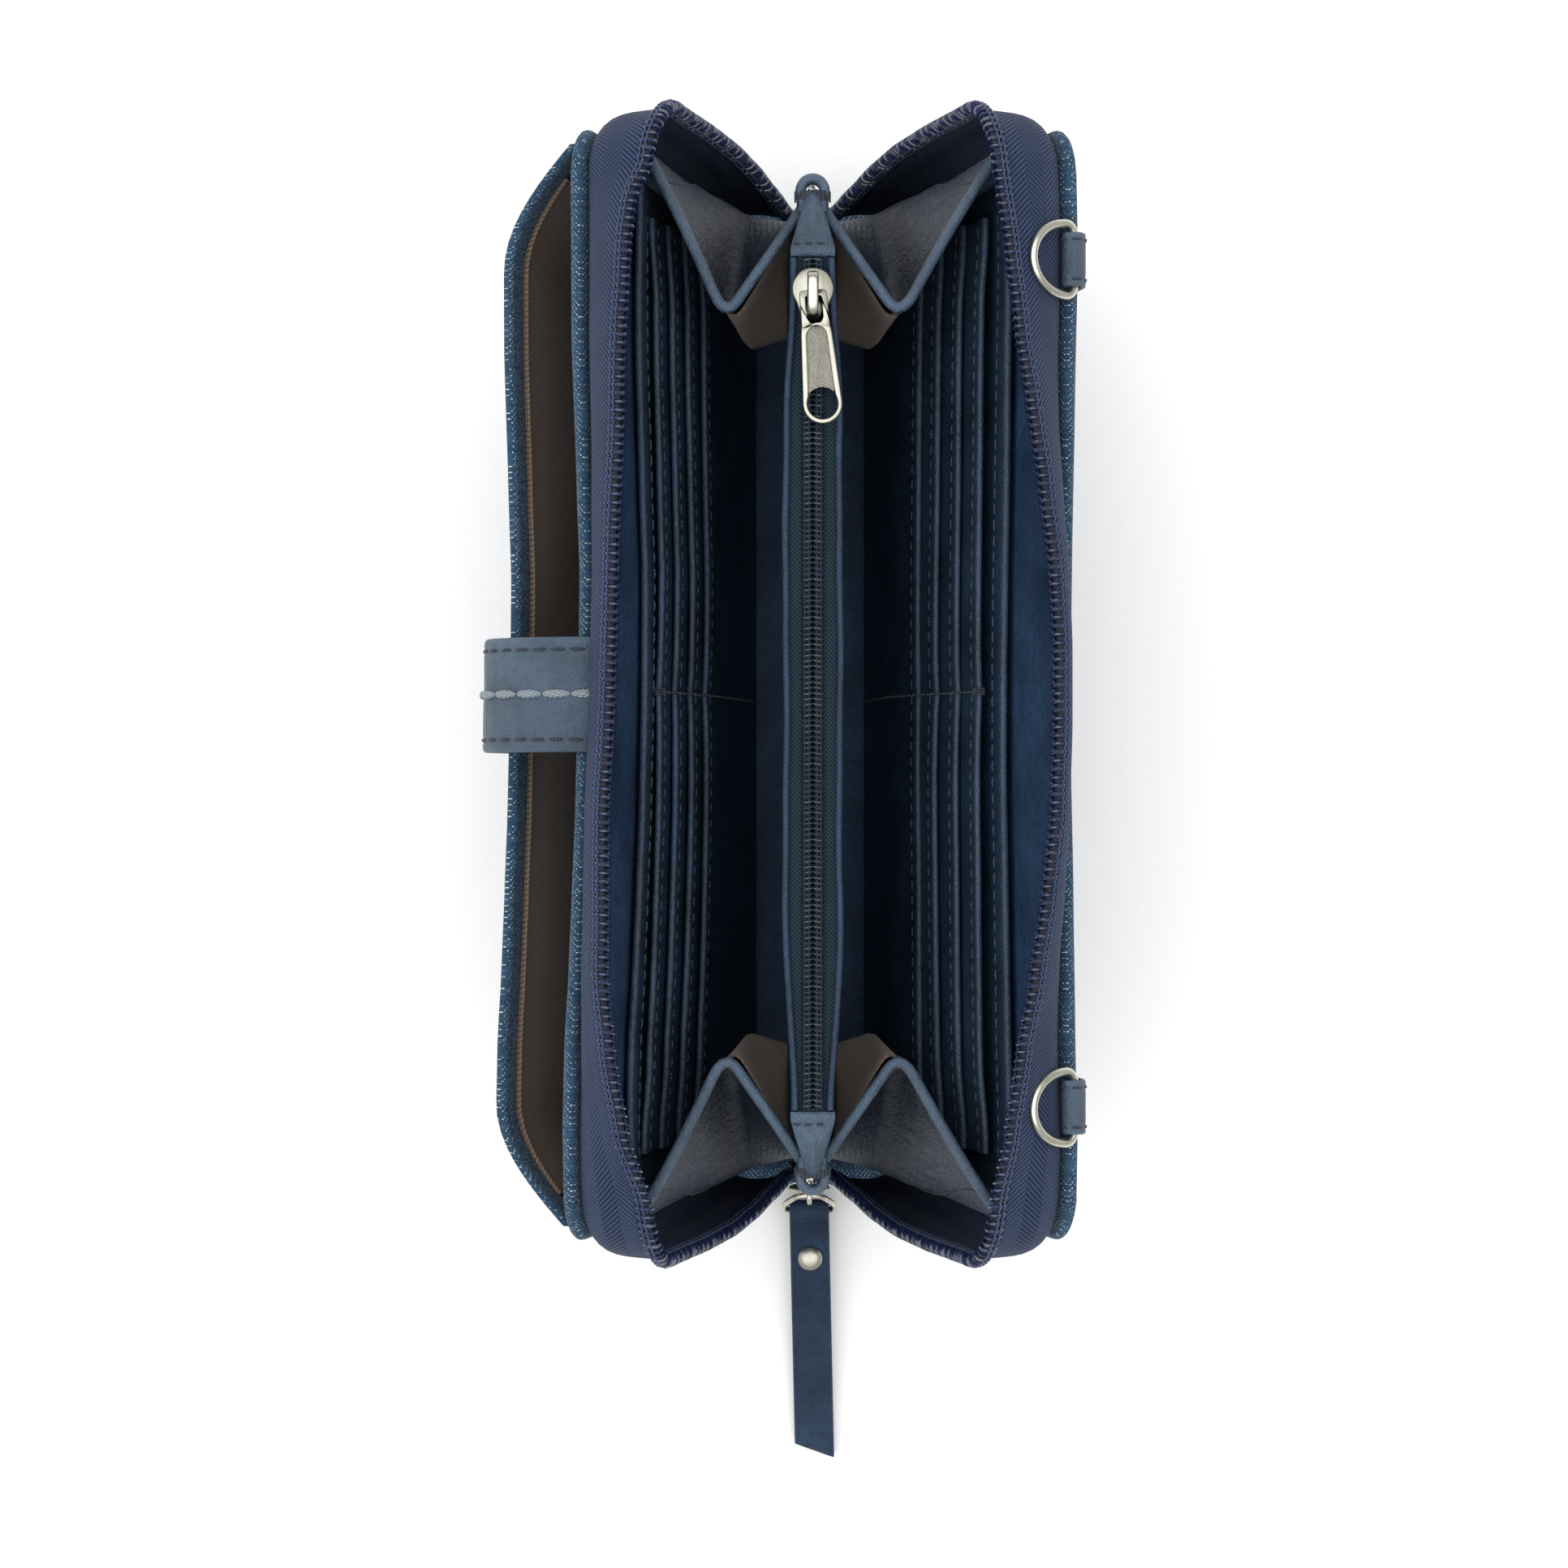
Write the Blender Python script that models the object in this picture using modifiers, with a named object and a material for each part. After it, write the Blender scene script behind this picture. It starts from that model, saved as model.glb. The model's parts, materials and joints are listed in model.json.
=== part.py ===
"""Zip-around travel wallet with an outside phone pocket, standing open on its spine.

Z is up, Y runs along the spine and X across the mouth. The origin is the middle of the spine's
underside. Each cover half is modelled upright beside its fold line, then tilted about it.
"""

from math import asin, cos, pi, radians, sin

import bmesh
import bpy
from mathutils import Vector

MM = 0.001
GAP = 0.3 * MM

# Driving dimensions
HALF_LENGTH = 99.3 * MM
WALL_HEIGHT = 105.0 * MM
SPINE_HALF_WIDTH = 19.0 * MM
FOLD_Z = 2.0 * MM
LEFT_RIM_REACH = 42.7 * MM
RIGHT_RIM_REACH = 46.3 * MM

# Spine
SPINE_COVER_INSET = 0.8 * MM
SPINE_COVER_THICK = 1.2 * MM
SPINE_COVER_CORNER = 3.0 * MM
SPINE_BOARD_HALF_WIDTH = 14.5 * MM
SPINE_BOARD_HALF_LENGTH = 95.0 * MM
SPINE_BOARD_CORNER = 1.5 * MM
STIFFENER_THICK = 0.8 * MM
STIFFENER_Z = 1.9 * MM
SPINE_LINING_THICK = 0.6 * MM
SPINE_LINING_Z = 2.9 * MM
STOP_HALF_WIDTH = 3.1 * MM
STOP_HALF_DEPTH = 0.8 * MM
STOP_LOW = 1.6 * MM
STOP_HIGH = 7.2 * MM

# Cover wall, from the outside in
WALL_FOOT = 0.4 * MM
DENIM_THICK = 1.1 * MM
WALL_THICK = 3.0 * MM
RIM_WIDTH = 1.3 * MM
BOARD_IN = 1.4 * MM
BOARD_THICK = 0.8 * MM
LINING_IN = 2.5 * MM
LINING_THICK = 0.8 * MM
CORNER_RADIUS = 9.0 * MM
FOOT_RADIUS = 1.5 * MM
PANEL_CLEARANCE = 0.4 * MM
PANEL_FOOT_RADIUS = 0.8 * MM

# Zip around the mouth
TAPE_BASE_IN = 3.9 * MM
TAPE_INSET = 3.0 * MM
TAPE_CORNER = 6.0 * MM
TAPE_THICK = 0.8 * MM
TAPE_WIDTH = 12.0 * MM
COIL_REACH = 13.9 * MM
COIL_RADIUS = 1.6 * MM
ZIP_LOW_END = 3.0 * MM
ZIP_END_TAPER = 1.0 * MM
ZIP_TAPER_HEIGHT = 30.0 * MM
END_FLARE = 25.0
FOOT_FLARE = 2.0
CORNER_FLARE = 29.0

# Card panels
CARD_THICK = 0.8 * MM
DIVIDER_THICK = 1.0 * MM
CARD_HALF_LENGTH = 84.5 * MM
DIVIDER_HALF_LENGTH = 90.3 * MM
CARD_TOPS = [87.9 * MM, 78.5 * MM, 69.1 * MM, 59.6 * MM]
CARD_HANG = 21.0 * MM

# Coin purse
PURSE_TOP = 104.0 * MM
PURSE_HALF_LENGTH = 84.0 * MM
PURSE_ZIP_END = 75.4 * MM
PURSE_MID_HALF = 5.3 * MM
PURSE_END_HALF = 3.8 * MM
PURSE_TIP_HALF = 1.4 * MM
PURSE_FLAT_RUN = 45.0 * MM
PURSE_FOOT = 3.7 * MM
PURSE_LOW_TOP = 95.0 * MM
PURSE_WAIST_Z = 60.0 * MM
PURSE_WAIST_HALF = 2.9 * MM
PURSE_FOOT_HALF = 2.3 * MM
LEATHER = 1.0 * MM
COIN_TAPE_INNER = 2.4 * MM
COIN_TAPE_THICK = 0.6 * MM
COIN_TAPE_DROP = 1.2 * MM
COIN_COIL_INNER = 0.55 * MM
COIN_COIL_OUTER = 2.1 * MM
COIN_COIL_HEIGHT = 1.6 * MM
COIN_COIL_CORNER = 0.4 * MM
CAP_CLEARANCE = 0.8 * MM
CAP_SHOULDER = 2.0 * MM
CAP_SHOULDER_SHARE = 0.92
CAP_TIP_HALF = 1.45 * MM
TIP_Y = 86.2 * MM
LOOP_LENGTH = 5.0 * MM
LOOP_OUTER = 3.2 * MM
LOOP_INNER = 0.7 * MM
LOOP_BAR = 1.6 * MM
LOOP_HEIGHT = 4.0 * MM
LOOP_Z = 98.6 * MM

# Gussets, with each line's value at its foot and at its top
GUSSET_WALL_W = (4.5 * MM, 95.0 * MM)
GUSSET_WALL_IN = (6.5 * MM, 11.0 * MM)
GUSSET_WALL_Y = (94.6 * MM, 92.4 * MM)
GUSSET_FOLD_X = (9.5 * MM, 15.7 * MM)
GUSSET_FOLD_Y = (94.8 * MM, 65.6 * MM)
GUSSET_PURSE_X = (2.4 * MM, 1.9 * MM)
GUSSET_PURSE_Y = (92.0 * MM, 85.4 * MM)
GUSSET_PURSE_TOP = 95.5 * MM
GUSSET_LINING_IN = 1.35 * MM
GUSSET_THICK = 0.8 * MM
GUSSET_LINING_THICK = 0.4 * MM
GUSSET_TOP = 97.0 * MM
GUSSET_FOOT = 5.0 * MM

# Phone pocket
POCKET_HALF_LENGTH = 96.8 * MM
POCKET_BULGE_RUN = 22.0 * MM
POCKET_SEAM_PAST_END = 0.8 * MM
POCKET_SEAM_OUT = 1.2 * MM
POCKET_SEAM_W = 1.6 * MM
POCKET_FOOT_W = 2.4 * MM
POCKET_FOOT_OUT = 9.6 * MM
POCKET_RIM_OUT = 17.0 * MM
POCKET_RIM_Z = 98.0 * MM
POCKET_RIM_DROP = 9.2 * MM
POCKET_THICK = 1.4 * MM
POCKET_LINING_IN = 1.4 * MM
POCKET_LINING_HALF_LENGTH = 85.0 * MM
POCKET_LINING_THICK = 0.6 * MM

# Snap strap
STRAP_WIDTH = 20.4 * MM
STRAP_Y = -1.9 * MM
STRAP_THICK = 2.2 * MM
STRAP_HINGE_IN = 2.4 * MM
STRAP_HINGE_W = 106.5 * MM
SNAP_W = 72.0 * MM

# D-rings
RING_WIRE = 0.875 * MM
D_HALF_WIDTH = 6.3 * MM
D_CORNER = 1.2 * MM
D_DEPTH = 9.3 * MM
D_Y = 74.6 * MM
D_BAR_IN = 1.0 * MM
D_BAR_W = 107.4 * MM
D_REST_RISE = 21.0
TAB_HALF_WIDTH = 4.8 * MM
TAB_WRAP = 2.1 * MM
TAB_LEG_OUT = 2.3 * MM
TAB_LEG_FOOT_W = 91.0 * MM
TAB_LEG_TOP_W = 104.8 * MM
TAB_INNER_W = 105.5 * MM
BORE_GAP = 0.2 * MM

# Main slider and its pull
SLIDER_Y = -96.8 * MM
SLIDER_HALF_WIDTH = 4.2 * MM
SLIDER_LOW = 7.6 * MM
SLIDER_HIGH = 16.6 * MM
CHANNEL_HALF = 1.9 * MM
PLATE = 1.0 * MM
POST_HALF_WIDTH = 0.8 * MM
POST_LOW = 12.4 * MM
POST_HIGH = 15.6 * MM
BRIDGE_Y = -100.65 * MM
BRIDGE_Z = 12.6 * MM
BRIDGE_EYE = 1.15 * MM
BRIDGE_WALL = 0.7 * MM
BRIDGE_HALF_HEIGHT = 3.2 * MM
BRIDGE_WIDTH = 1.8 * MM
LINK_TOP_HALF = 2.0 * MM
LINK_FOOT_HALF = 4.9 * MM
PULL_BAR_Y = -104.1 * MM
PULL_BAR_Z = 7.4 * MM
PULL_WIRE = 0.65 * MM
PULL_WIDTH = 8.0 * MM
PULL_THICK = 2.8 * MM
PULL_LENGTH = 50.4 * MM
PULL_TIP_Z = 1.75 * MM
PULL_TURN = 1.3
PULL_WRAP = 2.15 * MM
RIVET_ALONG = 9.8 * MM
RIVET_HOLE = 1.35 * MM

# Coin purse slider
COIN_SLIDER_Y = 68.8 * MM
CHAIN_TOP = 104.0 * MM
COIN_PLATE_HALF = 3.6 * MM
COIN_PLATE_THICK = 1.0 * MM
ARCH_HALF = 4.1 * MM
ARCH_WIDTH = 2.0 * MM
COIN_PULL_LENGTH = 23.6 * MM
COIN_PULL_THICK = 1.0 * MM
COIN_PULL_WIDE = 3.5 * MM
COIN_PULL_NARROW = 2.5 * MM
COIN_PULL_HOLE = 2.6 * MM
COIN_PULL_TURN = 5.0

DENIM = (0.16, 0.27, 0.40)
TAPE_NAVY = (0.06, 0.08, 0.17)
COIL_NAVY = (0.05, 0.06, 0.17)
LEATHER_NAVY = (0.035, 0.065, 0.12)
TWILL_BROWN = (0.12, 0.09, 0.06)
BOARD_GREY = (0.30, 0.29, 0.27)
NICKEL = (0.62, 0.60, 0.54)


def clear_scene():
    for obj in list(bpy.data.objects):
        bpy.data.objects.remove(obj, do_unlink=True)


def make_collection(name):
    collection = bpy.data.collections.new(name)
    bpy.context.scene.collection.children.link(collection)
    return collection


def make_material(name, colour, roughness, metallic=0.0):
    material = bpy.data.materials.new(name)
    material.use_nodes = True
    shader = material.node_tree.nodes["Principled BSDF"]
    shader.inputs["Base Color"].default_value = (*colour, 1.0)
    shader.inputs["Roughness"].default_value = roughness
    shader.inputs["Metallic"].default_value = metallic
    return material


clear_scene()
PARTS = make_collection("passport_holder")
CUTTERS = make_collection("cutters")


def add(name, data, look, parent=None):
    """Put a new object in the parts collection with a material of its own."""
    colour, roughness, metallic = look
    obj = bpy.data.objects.new(name, data)
    PARTS.objects.link(obj)
    data.materials.append(make_material(name, colour, roughness, metallic))
    obj.parent = parent
    return obj


def pivot(name, location, turn=(0.0, 0.0, 0.0), parent=None):
    empty = bpy.data.objects.new(name, None)
    PARTS.objects.link(empty)
    empty.location = location
    empty.rotation_euler = turn
    empty.parent = parent
    return empty


def outline_curve(name, loops, thickness):
    """A filled 2D curve, one closed spline per loop, extruded to the thickness."""
    curve = bpy.data.curves.new(name, "CURVE")
    curve.dimensions = "2D"
    curve.fill_mode = "BOTH"
    curve.extrude = thickness / 2
    for loop in loops:
        spline = curve.splines.new("POLY")
        spline.points.add(len(loop) - 1)
        for point, (a, b) in zip(spline.points, loop):
            point.co = (a, b, 0.0, 1.0)
        spline.use_cyclic_u = True
    return curve


def bar_along_y(name, loops, length, middle, look, parent=None):
    """An outline in X and Z, drawn out along Y."""
    obj = add(name, outline_curve(name, loops, length), look, parent)
    obj.rotation_euler = (pi / 2, 0.0, 0.0)
    obj.location = (0.0, middle, 0.0)
    return obj


def plate_facing_x(name, loops, thickness, x, look, parent=None):
    """An outline in Y and Z, as a plate whose middle is at x."""
    obj = add(name, outline_curve(name, loops, thickness), look, parent)
    obj.rotation_euler = (pi / 2, 0.0, pi / 2)
    obj.location = (x, 0.0, 0.0)
    return obj


def plate_facing_z(name, loops, thickness, z, look, parent=None):
    """An outline in X and Y, as a plate whose middle is at z."""
    obj = add(name, outline_curve(name, loops, thickness), look, parent)
    obj.location = (0.0, 0.0, z)
    return obj


def wire(name, points, radius, look, parent=None, closed=False, sides=2):
    """A round wire or tube through the points."""
    curve = bpy.data.curves.new(name, "CURVE")
    curve.dimensions = "3D"
    curve.bevel_depth = radius
    curve.bevel_resolution = sides
    curve.use_fill_caps = not closed
    spline = curve.splines.new("POLY")
    spline.points.add(len(points) - 1)
    for point, place in zip(spline.points, points):
        point.co = (*place, 1.0)
    spline.use_cyclic_u = closed
    return add(name, curve, look, parent)


def sheet(name, rows, thickness, look, parent=None):
    """A thin skin through a grid of points, given body by Solidify."""
    mesh = bpy.data.meshes.new(name)
    bm = bmesh.new()
    verts = [[bm.verts.new(point) for point in row] for row in rows]
    for near, far in zip(verts, verts[1:]):
        for i in range(len(near) - 1):
            bm.faces.new((near[i], near[i + 1], far[i + 1], far[i]))
    bm.to_mesh(mesh)
    bm.free()
    mesh.shade_smooth()
    obj = add(name, mesh, look, parent)
    skin = obj.modifiers.new("thickness", "SOLIDIFY")
    skin.thickness = thickness
    skin.offset = 0.0
    return obj


def turned(name, profile, look, parent=None, steps=20):
    """A profile in X and Z, outer side from top to bottom, turned about Z."""
    mesh = bpy.data.meshes.new(name)
    bm = bmesh.new()
    verts = [bm.verts.new((r, 0.0, z)) for r, z in profile]
    for above, below in zip(verts, verts[1:]):
        bm.edges.new((above, below))
    bm.to_mesh(mesh)
    bm.free()
    obj = add(name, mesh, look, parent)
    screw = obj.modifiers.new("turn", "SCREW")
    screw.steps = steps
    screw.render_steps = steps
    screw.use_merge_vertices = True
    screw.merge_threshold = 0.00001
    screw.use_smooth_shade = True
    return obj


def build_ring(name, section, look, parent, steps=20):
    """A closed section in X and Z turned about Z, as a flat ring."""
    mesh = bpy.data.meshes.new(name)
    bm = bmesh.new()
    verts = [bm.verts.new((r, 0.0, z)) for r, z in section]
    for i, vert in enumerate(verts):
        bm.edges.new((verts[i - 1], vert))
    bm.to_mesh(mesh)
    bm.free()
    obj = add(name, mesh, look, parent)
    screw = obj.modifiers.new("turn", "SCREW")
    screw.steps = steps
    screw.render_steps = steps
    screw.use_merge_vertices = True
    screw.merge_threshold = 0.00001


def box_mesh(name, low, high):
    mesh = bpy.data.meshes.new(name)
    bm = bmesh.new()
    bmesh.ops.create_cube(bm, size=1.0)
    size = Vector(high) - Vector(low)
    middle = (Vector(high) + Vector(low)) / 2
    bmesh.ops.scale(bm, vec=size, verts=bm.verts)
    bmesh.ops.translate(bm, vec=middle, verts=bm.verts)
    bm.to_mesh(mesh)
    bm.free()
    return mesh


def box(name, low, high, look, parent=None):
    return add(name, box_mesh(name, low, high), look, parent)


def guide(name, mesh, parent=None):
    """An object that only shapes another one."""
    obj = bpy.data.objects.new(name, mesh)
    CUTTERS.objects.link(obj)
    obj.parent = parent
    obj.hide_render = True
    obj.display_type = "WIRE"
    return obj


def combine(obj, tool, operation):
    boolean = obj.modifiers.new(tool.name, "BOOLEAN")
    boolean.operation = operation
    boolean.solver = "EXACT"
    boolean.object = tool


def as_mesh(obj):
    """Turn a curve object into a welded mesh object of the same name and place."""
    bpy.context.view_layer.update()
    graph = bpy.context.evaluated_depsgraph_get()
    mesh = bpy.data.meshes.new_from_object(obj.evaluated_get(graph))
    bm = bmesh.new()
    bm.from_mesh(mesh)
    bmesh.ops.remove_doubles(bm, verts=bm.verts, dist=0.000001)
    bm.to_mesh(mesh)
    bm.free()
    name, place, parent = obj.name, obj.matrix_world.copy(), obj.parent
    bpy.data.objects.remove(obj, do_unlink=True)
    solid = bpy.data.objects.new(name, mesh)
    PARTS.objects.link(solid)
    solid.parent = parent
    solid.matrix_world = place
    return solid


def arc(centre, radius, start, end, steps):
    """Points on a circle, angles in degrees, both ends included."""
    points = []
    for i in range(steps + 1):
        angle = radians(start + (end - start) * i / steps)
        points.append((centre[0] + radius * cos(angle), centre[1] + radius * sin(angle)))
    return points


def rounded_box(a0, a1, b0, b1, low_radius, high_radius, steps=4):
    """A rectangle outline with one radius for its low corners and one for its high corners."""
    low, high = low_radius, high_radius
    return (
        arc((a0 + low, b0 + low), low, 180, 270, steps)
        + arc((a1 - low, b0 + low), low, 270, 360, steps)
        + arc((a1 - high, b1 - high), high, 0, 90, steps)
        + arc((a0 + high, b1 - high), high, 90, 180, steps)
    )


def strip(line, thickness):
    """The outline of a strip of even thickness along a line of points in a plane."""
    line = [Vector(point) for point in line]
    left, right = [], []
    for i, point in enumerate(line):
        before = (point - line[i - 1]).normalized() if i > 0 else None
        after = (line[i + 1] - point).normalized() if i < len(line) - 1 else None
        if before is None:
            before = after
        if after is None:
            after = before
        along = (before + after).normalized()
        across = Vector((-along.y, along.x))
        reach = thickness / 2 / max(0.5, across.dot(Vector((-after.y, after.x))))
        left.append(tuple(point + across * reach))
        right.append(tuple(point - across * reach))
    return right + left[::-1]


def blend(a, b, t):
    return a + (b - a) * t


def smooth(t):
    t = min(1.0, max(0.0, t))
    return t * t * (3 - 2 * t)


# ---------------------------------------------------------------- the two halves

# "flares" are degrees of the tape's rise along the rim, by length in millimetres.
HALVES = {
    "left": {
        "side": -1,
        "tilt": asin((LEFT_RIM_REACH - SPINE_HALF_WIDTH) / WALL_HEIGHT),
        "flares": [
            (-97, 29.0), (-92, 32.0), (-79, 50.0), (-65, 61.5), (-51, 70.0), (-22, 74.0), (-8, 72.0),
            (20, 70.0), (48, 62.0), (77, 55.0), (85, 50.0), (91, 38.0), (97, 29.0),
        ],
        "divider": [(4.5, 1.8), (9.2, 92.5)],
        "card_tops": [10.3, 10.9, 11.5, 12.1],
        "card_lean": 0.0525,
        "last_card_foot": [(11.0, 40.0), (8.6, 1.8)],
    },
    "right": {
        "side": 1,
        "tilt": asin((RIGHT_RIM_REACH - SPINE_HALF_WIDTH) / WALL_HEIGHT),
        "flares": [
            (-97, 29.0), (-92, 31.0), (-79, 41.5), (-65, 52.0), (-51, 63.0), (-37, 72.5), (-22, 80.0),
            (-8, 82.5), (6, 82.5), (20, 78.5), (34, 70.0), (48, 60.5), (62, 50.0), (77, 41.0), (90, 34.0),
            (97, 29.0),
        ],
        "divider": [(4.5, 1.8), (8.9, 45.0), (8.9, 92.5)],
        "card_tops": [11.6, 12.7, 13.8, 14.9],
        "card_lean": 0.0,
        "last_card_foot": [(14.9, 44.0), (8.6, 1.8)],
    },
}

LEATHER_LOOK = (LEATHER_NAVY, 0.45, 0.0)
DENIM_LOOK = (DENIM, 0.85, 0.0)
TAPE_LOOK = (TAPE_NAVY, 0.75, 0.0)
COIL_LOOK = (COIL_NAVY, 0.3, 0.0)
TWILL_LOOK = (TWILL_BROWN, 0.8, 0.0)
BOARD_LOOK = (BOARD_GREY, 0.9, 0.0)
METAL_LOOK = (NICKEL, 0.3, 1.0)


def zip_stations():
    """Points of the tape's sewn edge round a half: (y, height, outward normal), front foot to rear foot."""
    edge = HALF_LENGTH - TAPE_INSET
    top = WALL_HEIGHT - TAPE_INSET
    turn = TAPE_CORNER
    stations = []
    rises = [ZIP_LOW_END + (top - turn - ZIP_LOW_END) * i / 7 for i in range(8)]
    for w in rises:
        stations.append((-edge, w, (-1.0, 0.0)))
    for y, w in arc((-edge + turn, top - turn), turn, 180, 90, 5)[1:-1]:
        out = ((y + edge - turn) / turn, (w - top + turn) / turn)
        stations.append((y, w, out))
    for i in range(17):
        y = (-edge + turn) + 2 * (edge - turn) * i / 16
        stations.append((y, top, (0.0, 1.0)))
    rear = [(-y, w, (-out[0], out[1])) for y, w, out in stations[: len(rises) + 4]]
    return stations + rear[::-1]


def flare_at(half, y, w):
    """How far the tape rises from straight inward, in radians."""
    if w < WALL_HEIGHT - TAPE_INSET - TAPE_CORNER:
        level = w / (WALL_HEIGHT - TAPE_INSET - TAPE_CORNER)
        low = blend(FOOT_FLARE, END_FLARE, smooth((level - 0.13) * 2.3))
        return radians(blend(low, CORNER_FLARE, smooth((level - 0.8) * 5)))
    for low, high in zip(half["flares"], half["flares"][1:]):
        if y / MM <= high[0]:
            break
    return radians(blend(low[1], high[1], (y / MM - low[0]) / (high[0] - low[0])))


def tape_point(half, station, reach):
    """A point of the tape, by its distance from the sewn edge, in the half's own axes."""
    y, w, out = station
    flare = flare_at(half, y, w)
    narrow = 1.0 - ZIP_END_TAPER / COIL_REACH * (1 - smooth(w / ZIP_TAPER_HEIGHT))
    u = TAPE_BASE_IN + reach * narrow * cos(flare)
    rise = reach * narrow * sin(flare)
    return (-half["side"] * u, y + out[0] * rise, w + out[1] * rise)


def build_cover(name, half, axis):
    """Denim cover folded over a board, and the leather lining that closes it."""
    side = half["side"]
    mesh = bpy.data.meshes.new(name + "_denim")
    bm = bmesh.new()
    outline = rounded_box(
        -HALF_LENGTH, HALF_LENGTH, WALL_FOOT, WALL_HEIGHT, FOOT_RADIUS, CORNER_RADIUS, 5
    )
    face = bm.faces.new([bm.verts.new((0.0, y, w)) for y, w in outline])
    wall = bmesh.ops.extrude_face_region(bm, geom=[face])
    inner = [item for item in wall["geom"] if isinstance(item, bmesh.types.BMFace)]
    moved = [item for item in wall["geom"] if isinstance(item, bmesh.types.BMVert)]
    bmesh.ops.translate(bm, vec=(-side * WALL_THICK, 0.0, 0.0), verts=moved)
    bmesh.ops.inset_region(bm, faces=inner, thickness=RIM_WIDTH)
    bmesh.ops.translate(
        bm, vec=(side * (WALL_THICK - DENIM_THICK), 0.0, 0.0), verts=inner[0].verts
    )
    bmesh.ops.recalc_face_normals(bm, faces=bm.faces)
    bm.to_mesh(mesh)
    bm.free()
    add(name + "_denim_cover", mesh, DENIM_LOOK, axis)

    inset = RIM_WIDTH + PANEL_CLEARANCE
    panel = rounded_box(
        -HALF_LENGTH + inset,
        HALF_LENGTH - inset,
        WALL_FOOT + inset,
        WALL_HEIGHT - inset,
        PANEL_FOOT_RADIUS,
        CORNER_RADIUS - inset,
    )
    board_x = -side * (BOARD_IN + BOARD_THICK / 2)
    lining_x = -side * (LINING_IN + LINING_THICK / 2)
    plate_facing_x(name + "_board", [panel], BOARD_THICK, board_x, BOARD_LOOK, axis)
    plate_facing_x(name + "_lining", [panel], LINING_THICK, lining_x, LEATHER_LOOK, axis)


def build_zip_side(name, half, axis):
    stations = zip_stations()
    reaches = [TAPE_WIDTH * i / 3 for i in range(4)]
    rows = [[tape_point(half, station, reach) for reach in reaches] for station in stations]
    sheet(name + "_zip_tape", rows, TAPE_THICK, TAPE_LOOK, axis)
    line = [tape_point(half, station, COIL_REACH) for station in stations]
    wire(name + "_zip_coil", line, COIL_RADIUS, COIL_LOOK, axis)


def build_cards(name, half, axis):
    """The divider and its four stepped card pockets, as bent strips drawn out along Y."""
    inward = -half["side"]
    divider = [(inward * u * MM, w * MM) for u, w in half["divider"]]
    outline = strip(divider, DIVIDER_THICK)
    length = 2 * DIVIDER_HALF_LENGTH
    bar_along_y(name + "_divider", [outline], length, 0.0, LEATHER_LOOK, axis)
    lean = half["card_lean"]
    for i, (u, top) in enumerate(zip(half["card_tops"], CARD_TOPS)):
        line = [(inward * u * MM, top)]
        if i < len(CARD_TOPS) - 1:
            line.append((inward * (u * MM - CARD_HANG * lean), top - CARD_HANG))
        else:
            line += [(inward * a * MM, b * MM) for a, b in half["last_card_foot"]]
        slot = "%s_card_slot_%d" % (name, i + 1)
        bar_along_y(
            slot, [strip(line, CARD_THICK)], 2 * CARD_HALF_LENGTH, 0.0, LEATHER_LOOK, axis
        )


def build_half(name):
    half = HALVES[name]
    side = half["side"]
    place = (side * SPINE_HALF_WIDTH, 0.0, FOLD_Z)
    axis = pivot(name + "_half_axis", place, (0.0, side * half["tilt"], 0.0))
    build_cover(name, half, axis)
    build_zip_side(name, half, axis)
    build_cards(name, half, axis)
    return axis


# ---------------------------------------------------------------- spine and purse

def build_spine():
    reach = SPINE_HALF_WIDTH - SPINE_COVER_INSET
    corner = SPINE_COVER_CORNER
    cover = rounded_box(-reach, reach, -HALF_LENGTH, HALF_LENGTH, corner, corner)
    middle = SPINE_COVER_THICK / 2
    plate_facing_z("spine_denim_cover", [cover], SPINE_COVER_THICK, middle, DENIM_LOOK)
    reach, end = SPINE_BOARD_HALF_WIDTH, SPINE_BOARD_HALF_LENGTH
    corner = SPINE_BOARD_CORNER
    board = rounded_box(-reach, reach, -end, end, corner, corner)
    plate_facing_z("spine_stiffener", [board], STIFFENER_THICK, STIFFENER_Z, BOARD_LOOK)
    plate_facing_z("spine_lining", [board], SPINE_LINING_THICK, SPINE_LINING_Z, LEATHER_LOOK)
    for name, side in (("front", -1), ("rear", 1)):
        y = side * abs(SLIDER_Y)
        low = (-STOP_HALF_WIDTH, y - STOP_HALF_DEPTH, STOP_LOW)
        high = (STOP_HALF_WIDTH, y + STOP_HALF_DEPTH, STOP_HIGH)
        box("zip_end_stop_" + name, low, high, COIL_LOOK)


def purse_half_width(y, z):
    """The purse is widest under its zip, pinched at its ends, and narrows downward."""
    y = abs(y)
    if y < PURSE_ZIP_END:
        width = blend(
            PURSE_MID_HALF,
            PURSE_END_HALF,
            smooth((y - PURSE_FLAT_RUN) / (PURSE_ZIP_END - PURSE_FLAT_RUN)),
        )
    else:
        width = blend(
            PURSE_END_HALF,
            PURSE_TIP_HALF,
            smooth((y - PURSE_ZIP_END) / (PURSE_HALF_LENGTH - PURSE_ZIP_END)),
        )
    waist = min(width, PURSE_WAIST_HALF)
    foot = min(width, PURSE_FOOT_HALF)
    if z > PURSE_WAIST_Z:
        return blend(waist, width, smooth((z - PURSE_WAIST_Z) / (PURSE_TOP - PURSE_WAIST_Z)))
    return blend(foot, waist, (z - PURSE_FOOT) / (PURSE_WAIST_Z - PURSE_FOOT))


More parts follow.
